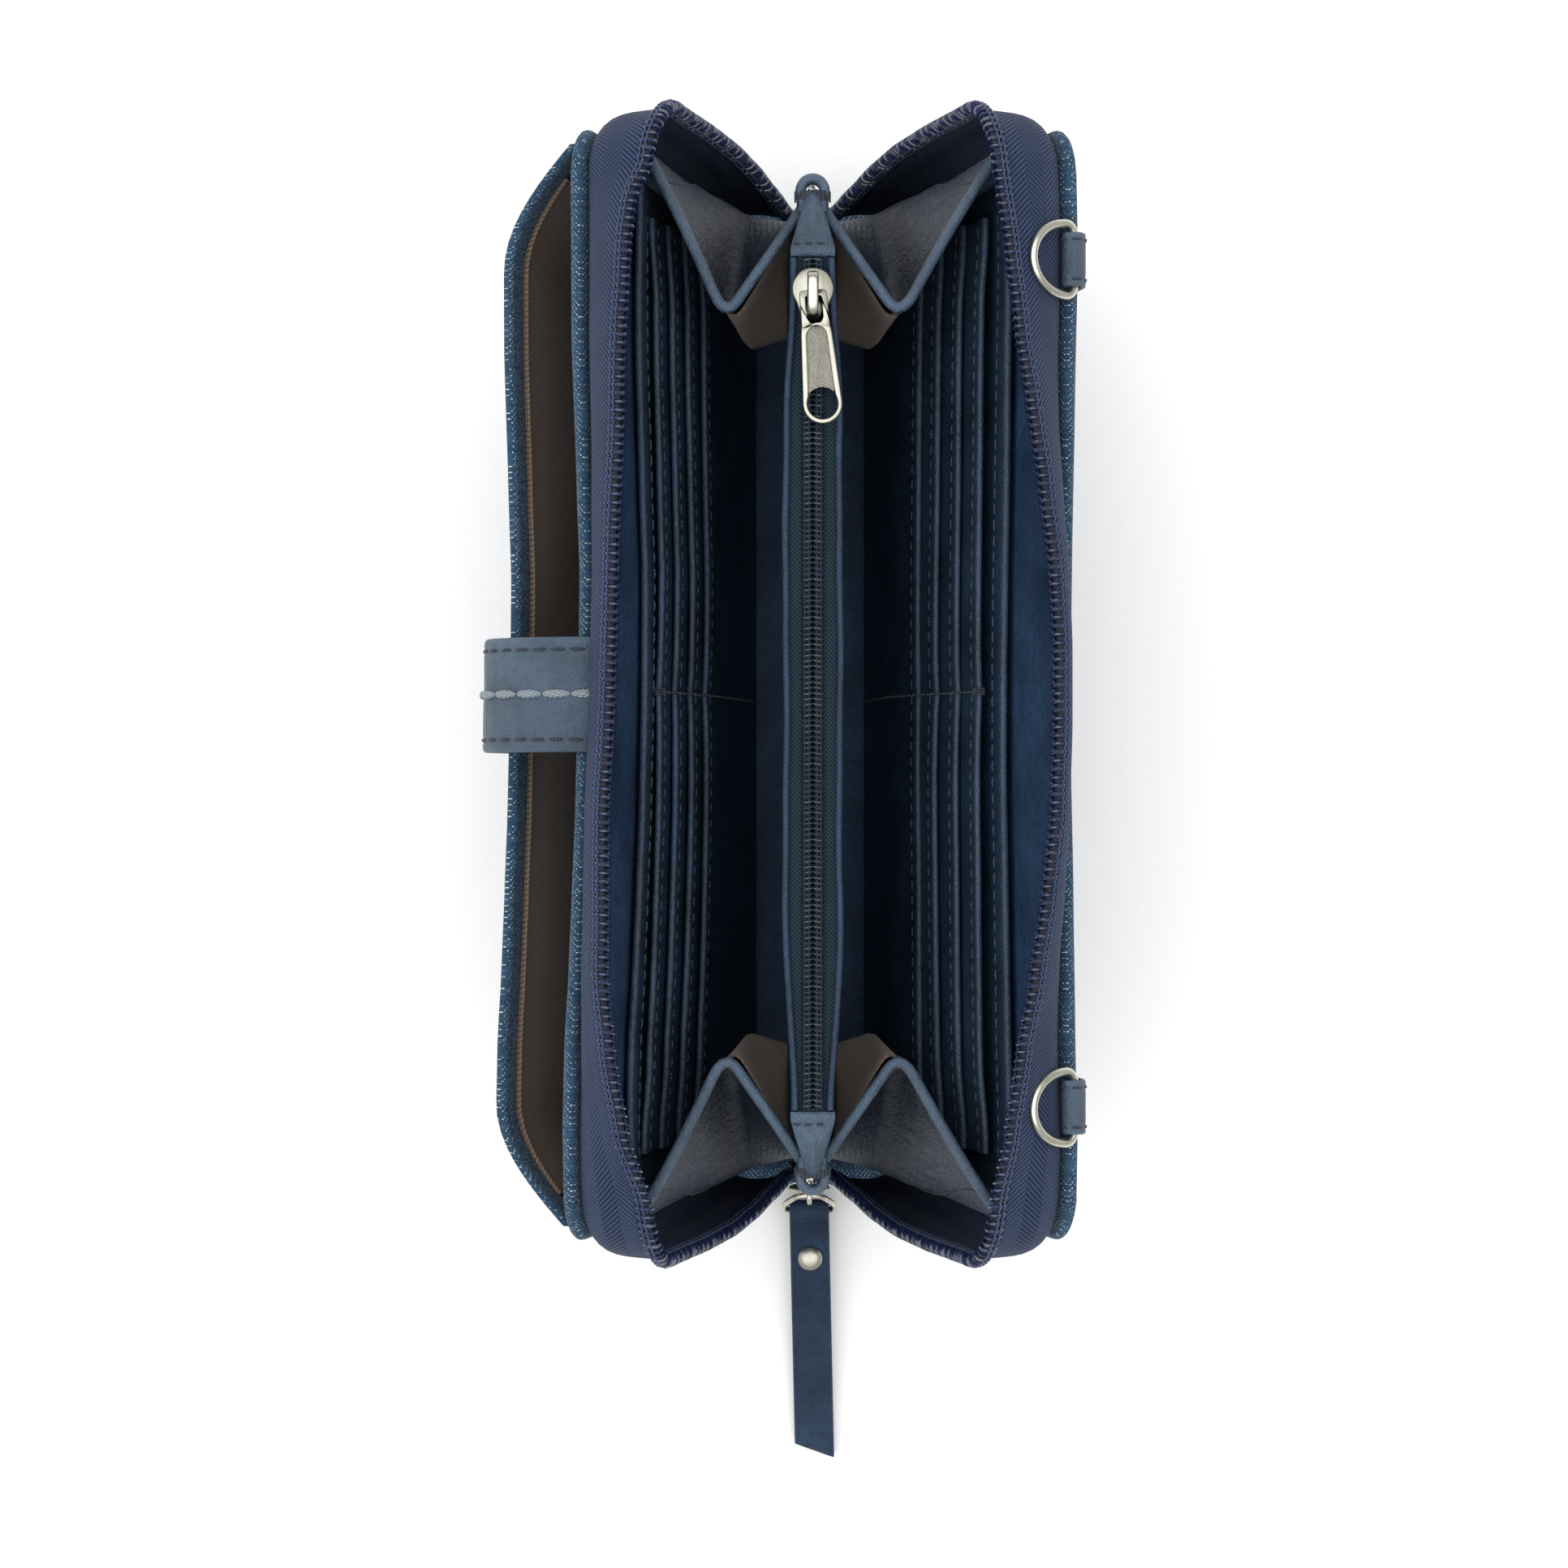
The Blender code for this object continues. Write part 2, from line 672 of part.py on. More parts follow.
def build_purse():
    runs = [0.0, 15.0, 30.0, 45.0, 55.0, 65.0, 75.2, 75.5, 79.0, 81.5, 84.0]
    lengths = sorted({side * run * MM for run in runs for side in (-1, 1)})
    for name, side in (("left", -1), ("right", 1)):
        rows = []
        for y in lengths:
            top = PURSE_TOP if abs(y) < PURSE_ZIP_END else PURSE_LOW_TOP
            row = []
            for i in range(7):
                z = blend(PURSE_FOOT, top, i / 6)
                x = side * (purse_half_width(y, z) - LEATHER / 2)
                row.append((x, y, z))
            rows.append(row)
        sheet("purse_wall_" + name, rows, LEATHER, LEATHER_LOOK)
        build_purse_zip_side(name, side)
    for name, side in (("front", -1), ("rear", 1)):
        build_purse_end(name, side)


def build_purse_zip_side(name, side):
    """One tape of the purse zip with its coil, both straight along Y."""
    end = PURSE_ZIP_END - GAP
    tape_z = CHAIN_TOP - COIN_TAPE_DROP
    edges = []
    for i in range(13):
        y = blend(-end, end, i / 12)
        edges.append((purse_half_width(y, PURSE_TOP) - LEATHER - GAP, y))
    inner = side * COIN_TAPE_INNER
    outline = [(side * x, y) for x, y in edges] + [(inner, end), (inner, -end)]
    plate_facing_z("purse_zip_tape_" + name, [outline], COIN_TAPE_THICK, tape_z, TAPE_LOOK)
    low, high = CHAIN_TOP - COIN_COIL_HEIGHT, CHAIN_TOP
    near, far = sorted((side * COIN_COIL_INNER, side * COIN_COIL_OUTER))
    section = rounded_box(near, far, low, high, COIN_COIL_CORNER, COIN_COIL_CORNER, 2)
    bar_along_y("purse_zip_coil_" + name, [section], 2 * end, 0.0, COIL_LOOK)


def build_purse_end(name, side):
    """The folded leather cap over the end of the zip, and the loop that ties the gussets to it."""
    start = (PURSE_ZIP_END + CAP_CLEARANCE) * side
    shoulder = PURSE_END_HALF * CAP_SHOULDER_SHARE
    tip = side * (TIP_Y - 2 * GAP)
    cap = [
        (-PURSE_END_HALF, start),
        (PURSE_END_HALF, start),
        (shoulder, start + side * CAP_SHOULDER),
        (CAP_TIP_HALF, tip),
        (-CAP_TIP_HALF, tip),
        (-shoulder, start + side * CAP_SHOULDER),
    ]
    height = PURSE_TOP - PURSE_LOW_TOP - CAP_SHOULDER
    middle = PURSE_TOP - height / 2
    plate_facing_z("purse_zip_cap_" + name, [cap], height, middle, LEATHER_LOOK)
    root = TIP_Y * side
    far = (0.0, root + side * (LOOP_LENGTH - LOOP_OUTER))
    bend = arc(far, LOOP_OUTER, 0, 180 * side, 8)
    hole = arc(far, LOOP_INNER, 0, 180 * side, 4)
    loop = [(LOOP_OUTER, root)] + bend + [(-LOOP_OUTER, root)]
    slot_root = root + side * LOOP_BAR
    slot = [(LOOP_INNER, slot_root)] + hole + [(-LOOP_INNER, slot_root)]
    plate_facing_z("gusset_loop_" + name, [loop, slot], LOOP_HEIGHT, LOOP_Z, LEATHER_LOOK)


# ---------------------------------------------------------------- gussets

def gusset_lines(half, end):
    """Wall line, fold line and purse line of a gusset, each as a function of height 0 to 1."""
    side, tilt = half["side"], half["tilt"]

    def wall(t):
        w = blend(*GUSSET_WALL_W, t)
        u = blend(*GUSSET_WALL_IN, t)
        x = SPINE_HALF_WIDTH - u * cos(tilt) + w * sin(tilt)
        z = FOLD_Z + u * sin(tilt) + w * cos(tilt)
        return Vector((side * x, end * blend(*GUSSET_WALL_Y, t), z))

    def fold(t):
        x = blend(*GUSSET_FOLD_X, t)
        y = blend(*GUSSET_FOLD_Y, t ** 1.7)
        return Vector((side * x, end * y, blend(GUSSET_FOOT, GUSSET_TOP, t)))

    def purse(t):
        x = blend(*GUSSET_PURSE_X, t)
        y = blend(*GUSSET_PURSE_Y, t ** 0.9)
        return Vector((side * x, end * y, blend(GUSSET_FOOT, GUSSET_PURSE_TOP, t)))

    return wall, fold, purse


def gusset_rows(half, end, shift, low, high):
    """Grid of a V-folded gusset; shift moves it towards the wallet's middle, for the lining."""
    wall, fold, purse = gusset_lines(half, end)
    rows = []
    steps = 8
    for i in range(steps + 1):
        t = blend(low, high, i / steps)
        a, b, c = wall(t), fold(t), purse(t)
        inward = Vector((0.0, -end * shift * (1 + 0.6 * t), 0.0))
        row = []
        for k in range(4):
            row.append(a.lerp(b, k / 4 * 0.96) + inward)
        row.append(b * 0.9 + (a + c) * 0.05 + inward)
        for k in range(3, -1, -1):
            row.append(c.lerp(b, k / 4 * 0.96) + inward)
        rows.append(row)
    return rows


def build_gussets():
    for name in ("left", "right"):
        for end_name, end in (("front", -1), ("rear", 1)):
            half = HALVES[name]
            label = "gusset_%s_%s" % (name, end_name)
            rows = gusset_rows(half, end, 0.0, 0.0, 1.0)
            sheet(label, rows, GUSSET_THICK, LEATHER_LOOK)
            rows = gusset_rows(half, end, GUSSET_LINING_IN, 0.02, 0.97)
            sheet(label + "_lining", rows, GUSSET_LINING_THICK, TWILL_LOOK)


# ---------------------------------------------------------------- phone pocket and strap

def pocket_bulge(y):
    t = (POCKET_HALF_LENGTH + POCKET_SEAM_PAST_END - abs(y)) / POCKET_BULGE_RUN
    return sin(pi / 2 * min(1.0, t))


def pocket_point(y, level, shrink):
    """A point of the pocket wall; level runs 0 at the foot to 1 at the rim, shrink goes inward."""
    bulge = pocket_bulge(y)
    rim = POCKET_RIM_Z - POCKET_RIM_DROP * bulge
    foot_bend = 0.05
    if level < foot_bend:
        out = blend(POCKET_SEAM_OUT, POCKET_FOOT_OUT, level / foot_bend)
        w = blend(POCKET_SEAM_W, POCKET_FOOT_W, level / foot_bend)
    else:
        rise = (level - foot_bend) / (1 - foot_bend)
        out = blend(POCKET_FOOT_OUT, POCKET_RIM_OUT, rise)
        w = blend(POCKET_FOOT_W, rim, rise)
    out = blend(POCKET_SEAM_OUT, out, bulge) - shrink
    return (-out, y, w)


def build_pocket(axis):
    outer = [0.0, 20.0, 40.0, 60.0, 74.0, 79.0, 84.0, 88.0, 91.5, 94.5, 96.8]
    levels = [0.0, 0.05, 0.2, 0.4, 0.6, 0.8, 1.0]
    lengths = sorted({side * run * MM for run in outer for side in (-1, 1)})
    rows = [[pocket_point(y, level, 0.0) for level in levels] for y in lengths]
    sheet("phone_pocket_panel", rows, POCKET_THICK, DENIM_LOOK, axis)
    inner = [y for y in lengths if abs(y) < POCKET_LINING_HALF_LENGTH]
    levels = [0.13, 0.3, 0.5, 0.75, 0.985]
    rows = [[pocket_point(y, level, POCKET_LINING_IN) for level in levels] for y in inner]
    sheet("phone_pocket_lining", rows, POCKET_LINING_THICK, TWILL_LOOK, axis)


def build_strap(axis):
    """Snap strap from the rim over the pocket's mouth and down its outside."""
    place = (STRAP_HINGE_IN, 0.0, STRAP_HINGE_W)
    hinge = pivot("phone_strap_axis", place, parent=axis)
    line = [
        (0.0, 0.0),
        (-4.4, 0.0),
        (-10.5, -1.1),
        (-16.0, -3.4),
        (-19.8, -6.4),
        (-21.6, -10.5),
        (-22.3, -18.5),
        (-22.3, -26.5),
        (-20.9, -42.5),
    ]
    line = [(x * MM, z * MM) for x, z in line]
    bar_along_y(
        "phone_strap", [strip(line, STRAP_THICK)], STRAP_WIDTH, STRAP_Y, LEATHER_LOOK, hinge
    )

    rim_w = POCKET_RIM_Z - POCKET_RIM_DROP
    slope = (POCKET_RIM_OUT - POCKET_FOOT_OUT) / (rim_w - POCKET_FOOT_W)
    panel_out = POCKET_FOOT_OUT + slope * (SNAP_W - POCKET_FOOT_W) + POCKET_THICK / 2
    turn = (0.0, -pi / 2 - slope, 0.0)
    stud = pivot("snap_stud_axis", (-panel_out, STRAP_Y, SNAP_W), turn, axis)
    profile = [(0.0, 1.2), (1.5, 1.2), (1.5, 0.7), (3.6, 0.7), (3.6, 0.3), (0.0, 0.3)]
    turned("snap_stud", [(r * MM, z * MM) for r, z in profile], METAL_LOOK, stud)
    place = (-panel_out - STRAP_HINGE_IN, STRAP_Y, SNAP_W - STRAP_HINGE_W)
    snap = pivot("snap_cap_axis", place, turn, hinge)
    profile = [(2.6, 1.5), (4.2, 1.5), (4.2, 1.0), (2.6, 1.0)]
    build_ring("snap_socket", [(r * MM, z * MM) for r, z in profile], METAL_LOOK, snap)
    dome = [(0.0, 6.0), (2.0, 5.85), (3.8, 5.35), (5.0, 4.7), (5.0, 4.4), (0.0, 4.4)]
    turned("snap_cap", [(r * MM, z * MM) for r, z in dome], METAL_LOOK, snap)


# ---------------------------------------------------------------- D-rings

def build_d_ring(name, side, axis):
    """A D-shaped ring on its leather tab, at the right half's rim."""
    y = side * D_Y
    bar = (-D_BAR_IN, D_BAR_W)
    low = TAB_LEG_FOOT_W
    outer = [(GAP, low), (TAB_LEG_OUT, low), (TAB_LEG_OUT, TAB_LEG_TOP_W)]
    outer += arc(bar, TAB_WRAP, -40, 200, 12)
    outer += [(-D_BAR_IN - 1.1 * MM, TAB_INNER_W), (GAP, TAB_INNER_W)]
    hole = arc(bar, RING_WIRE + BORE_GAP, 0, 330, 11)
    tab = "d_ring_tab_" + name
    bar_along_y(tab, [outer, hole], 2 * TAB_HALF_WIDTH, y, LEATHER_LOOK, axis)
    turn = (0.0, radians(D_REST_RISE), 0.0)
    ring_axis = pivot("d_ring_axis_" + name, (-D_BAR_IN, y, D_BAR_W), turn, axis)
    points = [(0.0, D_HALF_WIDTH - D_CORNER, 0.0), (0.0, -D_HALF_WIDTH + D_CORNER, 0.0)]
    points += [(-0.4 * MM, -D_HALF_WIDTH + 0.35 * MM, 0.0)]
    for i in range(11):
        angle = pi * i / 10
        depth = D_CORNER + (D_DEPTH - D_CORNER) * sin(angle) ** 0.8
        points.append((-depth, -D_HALF_WIDTH * cos(angle), 0.0))
    points += [(-0.4 * MM, D_HALF_WIDTH - 0.35 * MM, 0.0)]
    wire("d_ring_" + name, points, RING_WIRE, METAL_LOOK, ring_axis, closed=True)


# ---------------------------------------------------------------- sliders

def build_main_slider():
    """Slider parked at the foot of the front end, with a wire link and a riveted leather pull."""
    y, half = SLIDER_Y, SLIDER_HALF_WIDTH
    front = y - CHANNEL_HALF
    back = y + CHANNEL_HALF
    slider = box(
        "main_slider",
        (-half, front - PLATE, SLIDER_LOW),
        (half, front, SLIDER_HIGH),
        METAL_LOOK,
    )
    low, high = (-half, back, SLIDER_LOW), (half, back + PLATE, SLIDER_HIGH)
    combine(slider, guide("slider_back", box_mesh("slider_back", low, high)), "UNION")
    low = (-POST_HALF_WIDTH, front - 0.2 * MM, POST_LOW)
    high = (POST_HALF_WIDTH, back + 0.2 * MM, POST_HIGH)
    combine(slider, guide("slider_post", box_mesh("slider_post", low, high)), "UNION")
    near, tall = BRIDGE_Y - BRIDGE_EYE, BRIDGE_HALF_HEIGHT
    outline = rounded_box(
        near - BRIDGE_WALL, front - PLATE / 2, BRIDGE_Z - tall, BRIDGE_Z + tall, 0.8 * MM, 0.8 * MM
    )
    tall -= PLATE
    hole = rounded_box(
        near, front - PLATE + 0.01 * MM, BRIDGE_Z - tall, BRIDGE_Z + tall, 0.6 * MM, 0.6 * MM
    )
    arch = plate_facing_x("slider_arch", [outline, hole], BRIDGE_WIDTH, 0.0, METAL_LOOK)
    arch = as_mesh(arch)
    PARTS.objects.unlink(arch)
    CUTTERS.objects.link(arch)
    arch.hide_render = True
    arch.display_type = "WIRE"
    combine(slider, arch, "UNION")

    hinge = pivot("pull_link_axis", (0.0, BRIDGE_Y, BRIDGE_Z))
    top, bottom = LINK_TOP_HALF, LINK_FOOT_HALF
    drop = Vector((0.0, PULL_BAR_Y - BRIDGE_Y, PULL_BAR_Z - BRIDGE_Z))
    frame = [(-top, 0.0), (top, 0.0), (bottom, 0.55), (bottom, 1.0), (-bottom, 1.0), (-bottom, 0.55)]
    points = [(x, drop.y * t, drop.z * t) for x, t in frame]
    wire("pull_link", points, PULL_WIRE, METAL_LOOK, hinge, closed=True)

    sink = asin((PULL_BAR_Z - PULL_TIP_Z) / PULL_LENGTH)
    place = (0.0, drop.y, drop.z)
    pull_axis = pivot("leather_pull_axis", place, (sink, 0.0, radians(PULL_TURN)), hinge)
    thick = PULL_THICK / 2
    start = asin(thick / PULL_WRAP) * 180 / pi
    outline = arc((0.0, 0.0), PULL_WRAP, 180 - start, -180 + start, 12)
    outline += [(-PULL_LENGTH, -thick), (-PULL_LENGTH, thick)]
    hole = arc((0.0, 0.0), PULL_WIRE + BORE_GAP, 0, 330, 11)
    pull = plate_facing_x("leather_pull", [outline, hole], PULL_WIDTH, 0.0, LEATHER_LOOK, pull_axis)
    pull = as_mesh(pull)
    cutter = bpy.data.meshes.new("rivet_hole")
    bm = bmesh.new()
    bmesh.ops.create_cone(
        bm, cap_ends=True, segments=16, radius1=RIVET_HOLE, radius2=RIVET_HOLE, depth=PULL_WIDTH
    )
    bm.to_mesh(cutter)
    bm.free()
    hole = guide("rivet_hole", cutter, pull_axis)
    hole.location = (0.0, -RIVET_ALONG, 0.0)
    combine(pull, hole, "DIFFERENCE")

    rivet_axis = pivot("rivet_axis", (0.0, -RIVET_ALONG, 0.0), parent=pull_axis)
    face = PULL_THICK / 2 / MM + 0.3
    profile = [
        (0.0, face + 1.0),
        (1.4, face + 0.85),
        (2.3, face + 0.45),
        (2.5, face),
        (1.0, face),
        (1.0, -face),
        (2.2, -face),
        (2.2, -face - 0.4),
        (0.0, -face - 0.4),
    ]
    turned("pull_rivet", [(r * MM, z * MM) for r, z in profile], METAL_LOOK, rivet_axis)


def build_coin_slider():
    """Slider of the purse zip, with a flat metal pull lying along the chain."""
    y = COIN_SLIDER_Y
    top = CHAIN_TOP + GAP
    half = COIN_PLATE_HALF
    outline = rounded_box(-half, half, y - 3.4 * MM, y + 4.4 * MM, 1.6 * MM, 3.0 * MM)
    lid = top + COIN_PLATE_THICK
    slider = plate_facing_z("coin_slider", [outline], COIN_PLATE_THICK, (top + lid) / 2, METAL_LOOK)
    slider = as_mesh(slider)
    low = (-0.25 * MM, y - 2.0 * MM, top - 2.9 * MM)
    high = (0.25 * MM, y + 3.4 * MM, top + 0.5 * MM)
    combine(slider, guide("coin_web", box_mesh("coin_web", low, high)), "UNION")
    low = (-2.2 * MM, y - 3.0 * MM, top - 3.3 * MM)
    high = (2.2 * MM, y + 3.6 * MM, top - 2.4 * MM)
    combine(slider, guide("coin_back", box_mesh("coin_back", low, high)), "UNION")
    outer = rounded_box(y - ARCH_HALF, y + ARCH_HALF, lid - 0.5 * MM, lid + 3.1 * MM, 0.2 * MM, 1.4 * MM)
    hole = rounded_box(
        y - ARCH_HALF + COIN_PLATE_THICK, y + ARCH_HALF - COIN_PLATE_THICK,
        lid - 0.01 * MM, lid + 2.1 * MM, 0.1 * MM, 0.6 * MM,
    )
    arch = as_mesh(plate_facing_x("coin_arch", [outer, hole], ARCH_WIDTH, 0.0, METAL_LOOK))
    PARTS.objects.unlink(arch)
    CUTTERS.objects.link(arch)
    arch.hide_render = True
    arch.display_type = "WIRE"
    combine(slider, arch, "UNION")

    place = (0.0, y, lid + 1.05 * MM)
    hinge = pivot("coin_pull_axis", place, (0.0, 0.0, radians(COIN_PULL_TURN)))
    end = -COIN_PULL_LENGTH
    wide, narrow = COIN_PULL_WIDE, COIN_PULL_NARROW
    outline = (
        [(-narrow, 0.5 * MM), (-narrow, -5.5 * MM), (-wide, -9.0 * MM)]
        + arc((0.0, end + wide + 0.5 * MM), wide, 180, 360, 10)
        + [(wide, -9.0 * MM), (narrow, -5.5 * MM), (narrow, 0.5 * MM)]
    )
    eye = rounded_box(-1.4 * MM, 1.4 * MM, -5.4 * MM, -0.55 * MM, 0.5 * MM, 0.1 * MM, 2)
    ring = arc((0.0, end + wide + 0.5 * MM), COIN_PULL_HOLE, 0, 330, 11)
    plate_facing_z("coin_pull", [outline, eye, ring], COIN_PULL_THICK, 0.0, METAL_LOOK, hinge)


build_spine()
build_purse()
build_gussets()
left_axis = build_half("left")
right_axis = build_half("right")
build_pocket(left_axis)
build_strap(left_axis)
build_d_ring("front", -1, right_axis)
build_d_ring("rear", 1, right_axis)
build_main_slider()
build_coin_slider()
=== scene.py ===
"""Looks of the denim and leather travel wallet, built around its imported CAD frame."""

import json
import random
from math import asin, ceil, cos, exp, hypot, pi, radians, sin

import bmesh
import bpy
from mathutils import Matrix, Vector

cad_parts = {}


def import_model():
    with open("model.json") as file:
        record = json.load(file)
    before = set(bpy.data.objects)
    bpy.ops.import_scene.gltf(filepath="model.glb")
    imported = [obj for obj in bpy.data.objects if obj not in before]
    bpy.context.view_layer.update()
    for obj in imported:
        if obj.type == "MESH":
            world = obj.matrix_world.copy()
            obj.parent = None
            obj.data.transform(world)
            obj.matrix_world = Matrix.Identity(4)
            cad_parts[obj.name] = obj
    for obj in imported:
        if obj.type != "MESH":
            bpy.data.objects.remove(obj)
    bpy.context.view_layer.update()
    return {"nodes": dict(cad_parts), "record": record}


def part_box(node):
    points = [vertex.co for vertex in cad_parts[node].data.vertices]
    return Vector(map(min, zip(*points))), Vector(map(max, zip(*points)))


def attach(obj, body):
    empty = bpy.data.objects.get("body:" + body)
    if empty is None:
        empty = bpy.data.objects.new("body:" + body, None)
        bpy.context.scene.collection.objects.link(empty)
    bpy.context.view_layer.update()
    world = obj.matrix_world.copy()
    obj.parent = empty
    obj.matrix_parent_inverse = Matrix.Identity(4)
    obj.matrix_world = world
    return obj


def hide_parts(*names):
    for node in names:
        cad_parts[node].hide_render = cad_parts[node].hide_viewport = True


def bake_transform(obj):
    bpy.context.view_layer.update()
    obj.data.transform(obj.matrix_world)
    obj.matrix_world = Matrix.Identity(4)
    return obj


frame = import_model()
JOINTS = {joint["name"]: joint for joint in frame["record"]["behaviour"]["joints"]}
MM = 0.001

# Sizes are in millimetres and angles in degrees. The first ones repeat the CAD part's dimensions.
WALL_HEIGHT = 105.0
WALL_FOOT = 0.4
CORNER_RADIUS = 9.0
TAPE_INSET = 3.0
TAPE_BASE_IN = 3.9
TAPE_CORNER = 6.0
COIL_REACH = 13.9
ZIP_END_TAPER = 1.0
ZIP_TAPER_HEIGHT = 30.0
ZIP_LOW_END = 3.0
SEWN_IN, SEWN_UP = 2.75, 0.1
CENTRE_STITCH_Y = -1.0
CARD_TOPS = [87.9, 78.5, 69.1, 59.6]
CARD_HANG = 21.0
PURSE_TOP = 104.0
PURSE_ZIP_END = 75.4
PURSE_FOOT = 3.7
PURSE_WAIST_Z = 60.0
TIP_Y = 86.2
STRAP_Y = -1.9
STRAP_WIDTH = 20.4
STRAP_THICK = 2.2
SNAP_W = 72.0

# Details that only the looks have.
COIL_WIDE, COIL_TALL, COIL_PITCH, COIL_STEPS, COIL_WIRE = 1.5, 1.0, 1.46, 16, 0.33
COIN_COIL_PITCH, COIN_COIL_STEPS, COIN_COIL_WIRE = 0.96, 14, 0.21
RIM_STITCH = (3.4, 0.9, 0.26)
CARD_STITCH = (2.9, 0.9, 0.13)
LEATHER_STITCH = (2.9, 0.7, 0.2)
STRAP_SEAM = 0.78
CORD_LENGTH, CORD_GAP, CORD_PLIES, CORD_TURNS = 4.9, 0.55, 3, 1.7
RING_Y, RING_BAR_U, RING_BAR_W, RING_RISE = 74.6, 1.0, 107.4, 21.0
RING_WIDE, RING_DEEP, RING_BEND, RING_WIRE = 6.28, 9.25, 1.9, 0.86
TAB_HALF_WIDTH, TAB_SEAM = 4.75, 0.74
COIN_PULL_REACH, COIN_PULL_TURN = -19.6, 5.0
PULL_LENGTH, PULL_THICK, PULL_WIDE, PULL_TURN = 50.4, 2.8, 8.0, 1.3
PULL_REST_HEIGHT, PULL_RIVET_D, PULL_WRAP, PULL_PLY = 1.75, 9.8, 1.5, 0.6

SUN_POWER, SUN_ANGLE, SUN_TILT = 2.9, 85.0, (-3.0, -6.0)
WORLD_LIGHT, WORLD_SEEN = 0.6, 1.0
CAMERA_PLACE, CAMERA_LENS, CAMERA_SENSOR = (-0.0051, -0.0177, 0.757), 84.8, 36.0
FLOOR_REACH_M = 40.0

RANDOM = random.Random(11)


def blend(a, b, t):
    return a + (b - a) * t


def smooth(t):
    t = min(1.0, max(0.0, t))
    return t * t * (3 - 2 * t)


def box_mm(node):
    low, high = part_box(node)
    return [c / MM for c in low], [c / MM for c in high]


# ---------------------------------------------------------------- materials


class Nodes:
    """A material's node tree, built with short calls."""

    def __init__(self, name):
        self.material = bpy.data.materials.new(name)
        self.material.use_nodes = True
        self.tree = self.material.node_tree
        self.shader = self.tree.nodes["Principled BSDF"]

    def add(self, kind, inputs, **settings):
        node = self.tree.nodes.new(kind)
        for key, value in settings.items():
            setattr(node, key, value)
        for key, value in inputs.items():
            self.feed(node.inputs[key], value)
        return node

    def feed(self, socket, value):
        if isinstance(value, bpy.types.NodeSocket):
            self.tree.links.new(value, socket)
        else:
            socket.default_value = value

    def math(self, operation, a, b=0.0, c=0.0, clamp=False):
        inputs = {0: a, 1: b, 2: c}
        return self.add("ShaderNodeMath", inputs, operation=operation, use_clamp=clamp).outputs[0]

    def mix(self, factor, a, b):
        inputs = {0: factor, 6: a, 7: b}
        return self.add("ShaderNodeMix", inputs, data_type="RGBA").outputs[2]

    def remap(self, value, low, high, to_low=0.0, to_high=1.0):
        inputs = {0: value, 1: low, 2: high, 3: to_low, 4: to_high}
        return self.add("ShaderNodeMapRange", inputs).outputs[0]

    def object_space(self, stretch=(1.0, 1.0, 1.0)):
        place = self.add("ShaderNodeTexCoord", {}).outputs["Object"]
        if stretch == (1.0, 1.0, 1.0):
            return place
        return self.add("ShaderNodeMapping", {"Vector": place, "Scale": stretch}).outputs[0]

    def weave_space(self):
        """Distance along and across the cloth in millimetres."""
        place = self.add("ShaderNodeAttribute", {}, attribute_name="weave").outputs["Vector"]
        split = self.add("ShaderNodeSeparateXYZ", {0: place})
        return split.outputs[0], split.outputs[1]

    def noise(self, scale, detail=3.0, vector=None, roughness=0.5):
        inputs = {"Scale": scale, "Detail": detail, "Roughness": roughness}
        inputs["Vector"] = vector if vector is not None else self.object_space()
        return self.add("ShaderNodeTexNoise", inputs).outputs["Fac"]

    def cells(self, scale, vector=None, feature="F1"):
        inputs = {"Scale": scale, "Vector": vector if vector is not None else self.object_space()}
        return self.add("ShaderNodeTexVoronoi", inputs, feature=feature).outputs["Distance"]

    def tent(self, value, clamp=False):
        """0 at whole numbers, 1 half way between them."""
        folded = self.math("ABSOLUTE", self.math("MULTIPLY_ADD", value, 2.0, -1.0))
        return self.math("SUBTRACT", 1.0, folded, clamp=clamp)

    def wave(self, phase):
        return self.math("ABSOLUTE", self.math("SINE", self.math("MULTIPLY", phase, pi)))

    def diagonal(self, pitch_along, pitch_across):
        """Ribs that run aslant over the weave."""
        along, across = self.weave_space()
        steps = self.math("DIVIDE", along, pitch_along), self.math("DIVIDE", across, pitch_across)
        return self.wave(self.math("ADD", *steps))

    def bump(self, height, distance, strength=1.0, normal=None):
        inputs = {"Height": height, "Distance": distance, "Strength": strength}
        if normal is not None:
            inputs["Normal"] = normal
        return self.add("ShaderNodeBump", inputs).outputs[0]

    def finish(self, **sockets):
        for key, value in sockets.items():
            self.feed(self.shader.inputs[key.replace("_", " ")], value)
        return self.material


def rgba(red, green, blue):
    return (red, green, blue, 1.0)


def tone(base, gain, lift=0.0):
    """A colour made darker or lighter."""
    return rgba(*[c * gain + lift for c in base])


